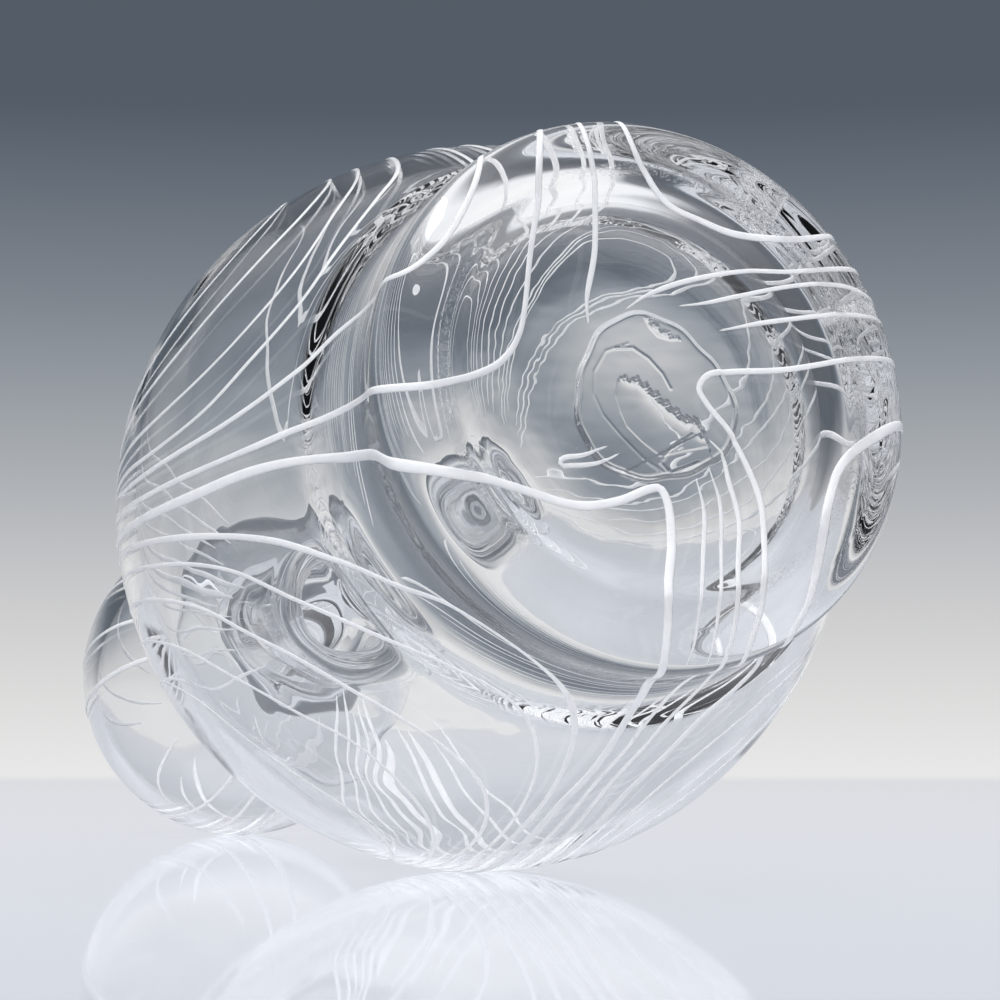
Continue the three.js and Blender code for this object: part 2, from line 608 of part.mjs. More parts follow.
function addBackSwags(group) {
  const { count, width, middle, lowest, spacing, hang, sweep, points, half, narrowing, legs } = BACK_SWAGS;
  for (let i = 0; i < count; i += 1) {
    const loop = [];
    for (let k = 0; k < points; k += 1) {
      const angle = (2 * k / (points - 1) - 1) * sweep * DEGREE;
      const reach = lowest + spacing * i + hang * (1 - Math.cos(angle));
      loop.push([reach, middle + (half - narrowing * i) * Math.sin(angle)]);
    }
    const leg = (side) => legs.map((at) => [
      at.reach + at.stagger * i, middle + side * (at.half - at.narrowing * i)]);
    addThread(group, `back_swag_${i + 1}`, [...leg(-1).reverse(), ...loop, ...leg(1)], width);
  }
}

// Place and outward direction on the ball, at a latitude and bearing in radians
function onBall(latitude, bearing) {
  const out = Math.cos(latitude);
  const up = Math.sin(latitude);
  const cos = Math.cos(bearing);
  const sin = Math.sin(bearing);
  const point = new THREE.Vector3(out * cos, out * sin, up * BALL_SQUASH).multiplyScalar(BALL_RADIUS);
  point.z += BALL_HEIGHT;
  return { point, normal: new THREE.Vector3(out * cos, out * sin, up / BALL_SQUASH).normalize() };
}

function addBallThreads(group) {
  BALL_THREADS.forEach(({ bearing, lean, from, to, width }, i) => {
    const places = [];
    for (let k = 0; k <= BALL_THREAD_POINTS; k += 1) {
      const latitude = (from + (to - from) * k / BALL_THREAD_POINTS) * DEGREE;
      places.push(onBall(latitude, (bearing + lean * Math.sin(latitude)) * DEGREE));
    }
    const mesh = new THREE.Mesh(beadGeometry(places, width), whiteGlass);
    mesh.name = `ball_trail_${i + 1}`;
    group.add(mesh);
  });
}

const decanter = new THREE.Group();

const vessel = new THREE.Mesh(vesselGeometry(), clearGlass);
vessel.name = 'vessel';
decanter.add(vessel);
for (const { name, width, route } of THREADS) addThread(decanter, name, route, width);
addBackSwags(decanter);

const stopperGroup = new THREE.Group();
const stopper = new THREE.Mesh(stopperGeometry(), clearGlass);
stopper.name = 'stopper';
stopperGroup.add(stopper);
addBallThreads(stopperGroup);
decanter.add(stopperGroup);

export default decanter;
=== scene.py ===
"""Looks of the liquor decanter: clear hand-blown glass with trailed threads of white glass.

Lengths are millimetres until a mesh is made, which is in metres. The frame is the CAD one: +Z is up,
and the origin is the middle of the foot ring. Bearings are degrees about +Z from +X. Reach is the
distance along the outside skin from the middle of the underside.
"""
import math

import bpy
import numpy as np
from mathutils import Matrix, Vector, noise


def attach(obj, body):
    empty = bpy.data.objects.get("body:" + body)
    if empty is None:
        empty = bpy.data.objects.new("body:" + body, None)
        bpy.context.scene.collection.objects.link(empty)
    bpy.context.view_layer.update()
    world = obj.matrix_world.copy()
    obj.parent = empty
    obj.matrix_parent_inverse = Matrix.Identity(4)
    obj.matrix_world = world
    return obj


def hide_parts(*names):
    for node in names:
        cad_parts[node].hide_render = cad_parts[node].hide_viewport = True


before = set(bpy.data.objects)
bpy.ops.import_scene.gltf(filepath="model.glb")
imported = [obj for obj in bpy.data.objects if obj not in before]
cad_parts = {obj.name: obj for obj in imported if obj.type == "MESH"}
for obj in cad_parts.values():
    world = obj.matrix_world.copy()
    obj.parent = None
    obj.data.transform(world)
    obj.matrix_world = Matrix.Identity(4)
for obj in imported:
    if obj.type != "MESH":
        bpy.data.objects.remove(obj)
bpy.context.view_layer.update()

MM = 0.001

# Foot and heel
FOOT_RING_RADIUS = 35
FOOT_FLAT_WIDTH = 2.8
KICK_UP_HEIGHT = 7.5
KICK_UP_POWER = 2.2
HEEL_RADIUS = 44.6
HEEL_HEIGHT = 4.9
WAIST_RADIUS = 43.8
WAIST_HEIGHT = 13.4
WAIST_EASE = 0.4

# Belly
BELLY_RADIUS = 64.5
BELLY_HEIGHT = 77.5
BELLY_LOWER_REACH = 76
BELLY_LOWER_POWER = 1.7
BELLY_UPPER_REACH = 68.7
BELLY_START = 32
BELLY_EASE = 0.33
SHOULDER_HEIGHT = 134
SHOULDER_EASE = 0.42

# Neck and lip
NECK_RADIUS = 14.8
NECK_START = 156
NECK_TOP_RADIUS = 15.8
LIP_START = 194
LIP_RADIUS = 20
LIP_EDGE = 2
LIP_TOP = 206.1

# Inside
WALL = 3.2
FLOOR_HUMP = 13.5
FLOOR_LOW = 7.8
FLOOR_LOW_RADIUS = 30
FLOOR_CORNER_RADIUS = 38.5
FLOOR_CORNER_HEIGHT = 15
FLOOR_TURN = 17
BORE_RADIUS = 11
SOCKET_BOTTOM = 180
SOCKET_TOP_RADIUS = 12.8
SOCKET_CHAMFER = 1.2

# Stopper: a blown ball on a hollow peg
BALL_RADIUS = 36.2
BALL_SQUASH = 0.92
BALL_HEIGHT = 237.2
BALL_WALL = 3
PEG_BORE = 6
PEG_BOTTOM = 182
PEG_TOP = 202.5
PEG_CLEARANCE = 0.35

# Pontil scar
SCAR_CENTRE = (2, 0.7)
SCAR_RADIUS = 13.6
SCAR_RISE = 0.5
SCAR_MARGIN = 4
SCAR_RIM_RISE = 0.10
SCAR_RIM_INSET = 0.55
SCAR_RIM_WIDTH = 0.22
# The breaks in the scar, each between a steep crack and the edge where its floor runs out
MAIN_CRACK = [(10.3, 6.0), (9.7, 4.0), (9.2, 2.9), (7.8, 3.4), (6.3, 2.2), (5.0, 1.1), (2.6, -1.0),
              (0.2, -3.0), (-3.5, -3.1)]
MAIN_EDGE = [(11.0, 8.2), (6.5, 9.0), (2.5, 10.0), (-0.5, 7.6), (-2.8, 5.2), (-3.7, 2.8), (-4.3, 0.2),
             (-3.5, -3.3)]
TOP_CRACK = [(7.4, -9.4), (4.3, -11.3), (1.2, -13.3)]
TOP_EDGE = [(7.4, -9.2), (5.6, -9.1), (3.6, -9.6), (2.1, -11.1), (1.0, -13.2)]
SIDE_CRACK = [(10.4, 5.2), (10.1, 2.9), (11.4, 0.2), (15.6, -4.2)]
SIDE_EDGE = [(10.4, 5.4), (12.4, 4.4), (14.0, 2.4), (15.6, -0.9), (15.9, -4.0)]
FLAKE_WALL = 0.8
FLAKE_JAG_REACH = 0.9
# Waves that make a flake's wall jagged, each with its height and its turns along x and y
FLAKE_JAGS = [(0.30, 2.9, 1.3), (0.20, 6.1, -2.7), (0.10, 3.1, 9.7)]
# Fine grooves left by the snap
INNER_RIM = [(-1.5, -8.4), (-5.4, -7.0), (-7.6, -3.6), (-7.9, 0.2), (-6.6, 3.4), (-3.8, 6.8),
             (-0.6, 10.2), (3.0, 12.6)]
UPPER_CREASE = [(-3.6, -7.6), (-0.6, -7.8), (2.0, -6.2), (4.2, -3.8), (5.4, -1.4)]
LOWER_CREASE = [(8.4, 6.0), (4.1, 8.8), (2.4, 10.8), (3.8, 12.7), (8.8, 10.7)]
CREASE_WIDTH = 0.2
# Each flake with its depth at the crack, and each crease with its depth
FLAKES = [(MAIN_CRACK, MAIN_EDGE, 0.9), (TOP_CRACK, TOP_EDGE, 1.3), (SIDE_CRACK, SIDE_EDGE, 0.5)]
CREASES = [(UPPER_CREASE, 0.16), (LOWER_CREASE, 0.12)]

# Swells of the blown glass, each with its height, its size and its seed
OUTSIDE_SWELLS = [(0.10, 26, 1), (0.02, 9, 2)]
INSIDE_SWELLS = [(0.16, 24, 3), (0.03, 9, 4)]
INSIDE_BULGES = [(0.22, 13, 11)]
UNDERSIDE_SWELLS = [(0.05, 9, 5)]
BALL_SWELLS = [(0.14, 22, 7), (0.025, 8, 8)]
RIPPLE_HEIGHT = 0.05
# Heights between which the calm glass near the foot becomes lively
OUTSIDE_LIVELY = (8, 34)
INSIDE_LIVELY = (18, 44)
BULGES_LIVELY = (34, 70)
RIPPLES_LIVELY = (112, 130)
CALM_SHARE = 0.3

# Faces round each piece, and the steps between its rings
VESSEL_SIDES = 360
STOPPER_SIDES = 192
THREAD_SIDES = 12
SKIN_STEP = 0.3
SKIN_FINE_REACH = 72
LIP_STEP = 0.5
INSIDE_STEP = 0.9
STOPPER_STEP = 0.6
THREAD_STEP = 0.7

# Threads: shares of a thread's own width, and how it ends
THREAD_HALF = 0.43
THREAD_RISE = 0.26
THREAD_LIFT = 0.08
THREAD_WANDER = 0.24
TIP_LENGTH = 8
TIP_SHARE = 0.35
THREAD_DIP = 0.3


# Outline curves

def belly_radius(height):
    """Outside radius of the belly, fuller below its widest height than above."""
    height = np.asarray(height, float)
    below = height < BELLY_HEIGHT
    reach = np.where(below, BELLY_LOWER_REACH, BELLY_UPPER_REACH)
    power = np.where(below, BELLY_LOWER_POWER, 2.0)
    away = np.abs(height - BELLY_HEIGHT) / reach
    return BELLY_RADIUS * np.sqrt(1 - away ** power)


def belly_slope(height):
    """Change of the belly's radius with height."""
    small = 0.05
    return (belly_radius(height + small) - belly_radius(height - small)) / (2 * small)


def belly_arc(start, end, count, inset=0):
    """The belly between two heights, or the line at an even inset from it."""
    height = np.linspace(start, end, count)
    slope = belly_slope(height)
    length = np.hypot(1, slope)
    return np.stack([belly_radius(height) - inset / length, height + inset * slope / length], 1)


def cubic(a, b, c, d, count):
    """A curve from a to d that leaves towards b and arrives from c."""
    t = np.linspace(0, 1, count)[:, None]
    a, b, c, d = (np.asarray(p, float) for p in (a, b, c, d))
    return a * (1 - t) ** 3 + 3 * b * t * (1 - t) ** 2 + 3 * c * t ** 2 * (1 - t) + d * t ** 3


def kick_up(radius):
    """Height of the hollow underside."""
    inner = FOOT_RING_RADIUS - FOOT_FLAT_WIDTH / 2
    return KICK_UP_HEIGHT * np.maximum(0, 1 - (radius / inner) ** KICK_UP_POWER)


def shoulder(radius, inset, count):
    """From the belly, or its inset line, into a neck or bore of a radius."""
    start = belly_arc(SHOULDER_HEIGHT, SHOULDER_HEIGHT, 1, inset)[0]
    slope = float(belly_slope(SHOULDER_HEIGHT))
    rise = SHOULDER_EASE * (NECK_START - SHOULDER_HEIGHT)
    bend = start + rise * np.array([slope, 1])
    return cubic(start, bend, (radius, NECK_START - rise), (radius, NECK_START), count)


def skin_outline():
    """Outside line from the middle of the underside over foot ring, heel, waist and belly."""
    inner = FOOT_RING_RADIUS - FOOT_FLAT_WIDTH / 2
    outer = FOOT_RING_RADIUS + FOOT_FLAT_WIDTH / 2
    radius = np.linspace(0, inner, 80)
    under = np.stack([radius, kick_up(radius)], 1)
    flat = np.stack([np.linspace(inner, outer, 8), np.zeros(8)], 1)
    turn = np.linspace(0, math.pi / 2, 28)
    heel = np.stack([outer + (HEEL_RADIUS - outer) * np.sin(turn), HEEL_HEIGHT * (1 - np.cos(turn))], 1)
    pull = WAIST_EASE * (WAIST_HEIGHT - HEEL_HEIGHT)
    waist = (WAIST_RADIUS, WAIST_HEIGHT)
    up = cubic((HEEL_RADIUS, HEEL_HEIGHT), (HEEL_RADIUS, HEEL_HEIGHT + pull),
               (WAIST_RADIUS, WAIST_HEIGHT - pull), waist, 20)
    start = belly_arc(BELLY_START, BELLY_START, 1)[0]
    lead = BELLY_EASE * (BELLY_START - WAIST_HEIGHT)
    slope = float(belly_slope(BELLY_START))
    out = cubic(waist, (WAIST_RADIUS, WAIST_HEIGHT + lead), start - lead * np.array([slope, 1]), start, 20)
    belly = belly_arc(BELLY_START, SHOULDER_HEIGHT, 90)
    return np.concatenate([under, flat[1:], heel[1:], up[1:], out[1:], belly[1:]])


def lip_outline():
    """From the neck's top round the lip and down the ground seat to the bore."""
    return np.array([
        (NECK_TOP_RADIUS, LIP_START),
        (NECK_TOP_RADIUS + 1.2, LIP_START + 3.6),
        (LIP_RADIUS - 0.9, LIP_TOP - 2.6 * LIP_EDGE),
        (LIP_RADIUS, LIP_TOP - 1.7 * LIP_EDGE),
        (LIP_RADIUS - 0.3, LIP_TOP - 0.7 * LIP_EDGE),
        (LIP_RADIUS - LIP_EDGE, LIP_TOP),
        (SOCKET_TOP_RADIUS + SOCKET_CHAMFER, LIP_TOP),
        (SOCKET_TOP_RADIUS, LIP_TOP - SOCKET_CHAMFER),
        (BORE_RADIUS, SOCKET_BOTTOM)])


def inside_outline():
    """Inside line from the bore down the belly to the middle of the floor's hump."""
    throat = shoulder(BORE_RADIUS, WALL, 24)[::-1]
    belly = belly_arc(FLOOR_CORNER_HEIGHT + FLOOR_TURN, SHOULDER_HEIGHT, 60, WALL)[::-1]
    low = (FLOOR_LOW_RADIUS, FLOOR_LOW)
    bowl = cubic(belly[-1], (FLOOR_CORNER_RADIUS + WALL, FLOOR_CORNER_HEIGHT - WALL / 2),
                 (FLOOR_CORNER_RADIUS, FLOOR_LOW + WALL / 2), low, 40)
    hump = cubic(low, (0.6 * FLOOR_LOW_RADIUS, FLOOR_LOW),
                 (0.4 * FLOOR_LOW_RADIUS, FLOOR_HUMP), (0, FLOOR_HUMP), 36)
    return np.concatenate([throat, belly[1:], bowl[1:], hump[1:]])


def respaced(points, step):
    """The same line with its points an even step apart."""
    length = np.concatenate([[0], np.cumsum(np.hypot(*np.diff(points, axis=0).T))])
    count = max(2, int(round(length[-1] / step)))
    at = np.linspace(0, length[-1], count + 1)
    return np.stack([np.interp(at, length, points[:, k]) for k in (0, 1)], 1)


def softened(points, step, passes):
    """Rounds the corners of an evenly spaced line, and leaves its two ends where they are."""
    line = respaced(points, step)
    for _ in range(passes):
        line[1:-1] = 0.25 * line[:-2] + 0.5 * line[1:-1] + 0.25 * line[2:]
    return line


# Meshes

def new_mesh(name, vertices, faces, material):
    """A smooth object in metres from vertices in millimetres."""
    mesh = bpy.data.meshes.new(name)
    mesh.from_pydata((np.asarray(vertices) * MM).tolist(), [], faces)
    mesh.validate()
    for polygon in mesh.polygons:
        polygon.use_smooth = True
    mesh.materials.append(material)
    made = bpy.data.objects.new(name, mesh)
    bpy.context.scene.collection.objects.link(made)
    return made


def revolve(line, sides, shape=None):
    """A closed solid of revolution. The line starts and ends on the axis. shape moves its points."""
    inner = line[1:-1]
    angle = np.arange(sides) / sides * 2 * math.pi
    x = inner[:, :1] * np.cos(angle)
    y = inner[:, :1] * np.sin(angle)
    z = np.repeat(inner[:, 1:], sides, 1)
    rings = np.stack([x, y, z], 2)
    along = np.gradient(inner, axis=0)
    along /= np.linalg.norm(along, axis=1, keepdims=True)
    out = np.stack([along[:, 1:] * np.cos(angle), along[:, 1:] * np.sin(angle),
                    np.repeat(-along[:, :1], sides, 1)], 2)
    ends = np.array([(0, 0, line[0, 1]), (0, 0, line[-1, 1])])
    if shape is not None:
        rings = rings + out * shape(rings)[..., None]
        ends = ends + np.array([(0, 0, -1), (0, 0, 1)]) * shape(ends)[:, None]
    vertices = np.concatenate([rings.reshape(-1, 3), ends])
    first, last = len(vertices) - 2, len(vertices) - 1
    faces = []
    for i in range(len(inner) - 1):
        for j in range(sides):
            k = (j + 1) % sides
            a, b = i * sides + j, i * sides + k
            faces.append((a, b, b + sides, a + sides))
    top = (len(inner) - 1) * sides
    for j in range(sides):
        k = (j + 1) % sides
        faces.append((first, k, j))
        faces.append((last, top + j, top + k))
    return vertices, faces


def bumps(place, scale, seed):
    """Smooth random swells of about unit height, the same each run."""
    flat = place.reshape(-1, 3) / scale
    shift = Vector((seed * 3.1, seed * 1.7, seed * 5.3))
    return np.array([noise.noise(Vector(p) + shift) for p in flat]).reshape(place.shape[:-1])


def swells(place, layers):
    """Several layers of bumps on top of one another."""
    return sum(height * bumps(place, size, seed) for height, size, seed in layers)


def smooth_step(value, low, high):
    """0 up to low, 1 from high on, and an eased share between them."""
    t = np.clip((value - low) / (high - low), 0, 1)
    return t * t * (3 - 2 * t)


def scar_edge(x, y):
    """How far inside the scar's uneven edge a point of the underside lies."""
    dx, dy = x - SCAR_CENTRE[0], y - SCAR_CENTRE[1]
    angle = np.arctan2(dy, dx)
    edge = SCAR_RADIUS * (1 + 0.06 * np.sin(3 * angle + 0.6) + 0.012 * np.sin(11 * angle + 1.1))
    return edge - np.hypot(dx, dy)


def side_of(x, y, line):
    """Distance to an open line of points, more than nothing on its left and less on its right."""
    best = np.full(x.shape, 1e9)
    sign = np.zeros(x.shape)
    for i in range(len(line) - 1):
        (ax, ay), (bx, by) = line[i], line[i + 1]
        ux, uy = bx - ax, by - ay
        t = np.clip(((x - ax) * ux + (y - ay) * uy) / (ux * ux + uy * uy), 0, 1)
        px, py = x - ax - t * ux, y - ay - t * uy
        away = np.hypot(px, py)
        nearer = away < best
        best = np.where(nearer, away, best)
        sign = np.where(nearer, np.sign(ux * py - uy * px), sign)
    return best * sign


def flake(x, y, crack, edge, depth):
    """A shell-shaped break: it starts at nothing along edge and is deepest at the crack, a jagged wall."""
    rough = sum(height * np.sin(along_x * x + along_y * y) for height, along_x, along_y in FLAKE_JAGS)
    from_crack = -side_of(x, y, crack)
    from_edge = side_of(x, y, edge)
    rough = rough * np.exp(-(from_crack / FLAKE_JAG_REACH) ** 2)
    wall = smooth_step(from_crack + rough, 0, FLAKE_WALL)
    within = (from_crack > -0.6) & (from_edge > 0)
    across = np.clip(from_edge / np.maximum(np.abs(from_crack) + from_edge, 0.01), 0, 1)
    floor = 0.08 + 0.12 * across + depth * across ** 5
    return np.where(within, floor * wall * smooth_step(from_edge, 0, 0.25), 0)


def crease(x, y, line, width):
    """A fine groove along a line, 1 at its middle."""
    return np.exp(-(side_of(x, y, line) / width) ** 2)


def scar_relief(x, y):
    """How far the scar stands out of the underside, less where flakes of it came away."""
    inside = scar_edge(x, y)
    pad = SCAR_RISE * smooth_step(inside, -0.05, 0.4)
    rim = SCAR_RIM_RISE * np.exp(-((inside - SCAR_RIM_INSET) / SCAR_RIM_WIDTH) ** 2)
    rim = rim - 0.5 * SCAR_RIM_RISE * crease(x, y, INNER_RIM, SCAR_RIM_WIDTH)
    broken = sum(flake(x, y, crack, edge, depth) for crack, edge, depth in FLAKES)
    broken = broken + sum(depth * crease(x, y, line, CREASE_WIDTH) for line, depth in CREASES)
    return pad + rim - broken * smooth_step(inside, -0.2, 0.2)


def lively(height, levels):
    """How lively the glass is at a height, from a calm share near the foot to 1."""
    return CALM_SHARE + (1 - CALM_SHARE) * smooth_step(height, *levels)


def vessel_shape(place):
    """How far the blown skin departs from the turned outline."""
    x, y, z = place[..., 0], place[..., 1], place[..., 2]
    radius = np.hypot(x, y)
    move = lively(z, OUTSIDE_LIVELY) * swells(place, OUTSIDE_SWELLS)

    within = belly_radius(np.clip(z, 8, 146)) - 0.6 * WALL
    inside = (z > FLOOR_LOW - 2) & (radius < within) & (z < 150)
    ripple = np.sin(1.15 * z + 2.2 * bumps(place, 16, 9)) * bumps(place * np.array([1, 1, 0.2]), 7, 10)
    ripple = RIPPLE_HEIGHT * smooth_step(z, *RIPPLES_LIVELY) * ripple
    bulge = smooth_step(z, *BULGES_LIVELY) * (swells(place, INSIDE_BULGES) + ripple)
    wavy = lively(z, INSIDE_LIVELY) * swells(place, INSIDE_SWELLS) + bulge
    move = np.where(inside, wavy, move)

    edge = FOOT_RING_RADIUS - 1.5
    under = (radius < edge) & (z < KICK_UP_HEIGHT + 1)
    relief = swells(place, UNDERSIDE_SWELLS) + 0.02 * bumps(place * np.array([1, 2.2, 1]), 4, 6)
    move = np.where(under, smooth_step(edge - radius, 0, 5) * relief + scar_relief(x, y), move)

    foot = (np.abs(radius - FOOT_RING_RADIUS) < 4) & (z < 2)
    return np.where(foot, 0, move)


skin_line = softened(np.concatenate([skin_outline(), shoulder(NECK_RADIUS, 0, 30)[1:]]), SKIN_STEP, 14)
skin_reach = np.concatenate([[0], np.cumsum(np.hypot(*np.diff(skin_line, axis=0).T))])
skin_along = np.gradient(skin_line, axis=0)
skin_along /= np.linalg.norm(skin_along, axis=1, keepdims=True)


def make_vessel(material):
    """The vessel, with fine rings over the scar and foot, and every second ring above them."""
    scar_end = SCAR_RADIUS + SCAR_MARGIN
    scar = np.linspace(0, scar_end, 125)
    scar = np.stack([scar, kick_up(scar)], 1)
    foot = skin_line[(skin_reach > scar_end + SKIN_STEP) & (skin_reach < SKIN_FINE_REACH)]
    body = skin_line[skin_reach >= SKIN_FINE_REACH][::2]
    skin = np.concatenate([scar, foot, body, skin_line[-1:]])
    neck = np.array([(NECK_RADIUS, NECK_START), (NECK_TOP_RADIUS, LIP_START)])
    lip = softened(np.concatenate([neck, lip_outline()[1:]]), LIP_STEP, 3)
    inside = softened(np.concatenate([[(BORE_RADIUS, SOCKET_BOTTOM)], inside_outline()]), INSIDE_STEP, 4)
    line = np.concatenate([skin, lip[1:], inside[1:]])
    line[:, 1] = np.maximum(line[:, 1], 0)
    vertices, faces = revolve(line, VESSEL_SIDES, vessel_shape)
    vertices[:, 2] = np.maximum(vertices[:, 2], 0)
    return new_mesh("vessel_glass", vertices, faces, material)


def socket_radius(height):
    """Radius of the ground seat, which widens upwards."""
    share = (height - SOCKET_BOTTOM) / (LIP_TOP - SOCKET_CHAMFER - SOCKET_BOTTOM)
    return BORE_RADIUS + (SOCKET_TOP_RADIUS - BORE_RADIUS) * min(max(share, 0), 1)


def ball_arc(radius, start, count):
    """The ball's side from a small radius at its foot, round to the top of the axis."""
    turn = np.linspace(math.asin(start / radius), math.pi, count)
    return np.stack([radius * np.sin(turn), BALL_HEIGHT - BALL_SQUASH * radius * np.cos(turn)], 1)


def ball_shape(place):
    """How far the blown ball departs from the turned outline. The ground peg stays true."""
    return swells(place, BALL_SWELLS) * smooth_step(place[..., 2], LIP_TOP + 1, LIP_TOP + 12)


def make_stopper(material):
    """The hollow ball and its peg, as one line from the ball's inside round to its outside."""
    top = socket_radius(PEG_TOP) - PEG_CLEARANCE
    inside = ball_arc(BALL_RADIUS - BALL_WALL, PEG_BORE, 130)[::-1]
    outside = np.array([
        (PEG_BORE, PEG_BOTTOM),
        (socket_radius(PEG_BOTTOM) - PEG_CLEARANCE - 1, PEG_BOTTOM),
        (socket_radius(PEG_BOTTOM + 1) - PEG_CLEARANCE, PEG_BOTTOM + 1),
        (top, PEG_TOP)])
    outside = np.concatenate([outside, ball_arc(BALL_RADIUS, top, 150)])
    line = softened(np.concatenate([inside, outside]), STOPPER_STEP, 3)
    line[0, 0] = 0
    line[-1, 0] = 0
    vertices, faces = revolve(line, STOPPER_SIDES, ball_shape)
    vertices[:, 2] = np.minimum(vertices[:, 2], BALL_HEIGHT + BALL_SQUASH * BALL_RADIUS)
    return new_mesh("stopper_glass", vertices, faces, material)


# Threads

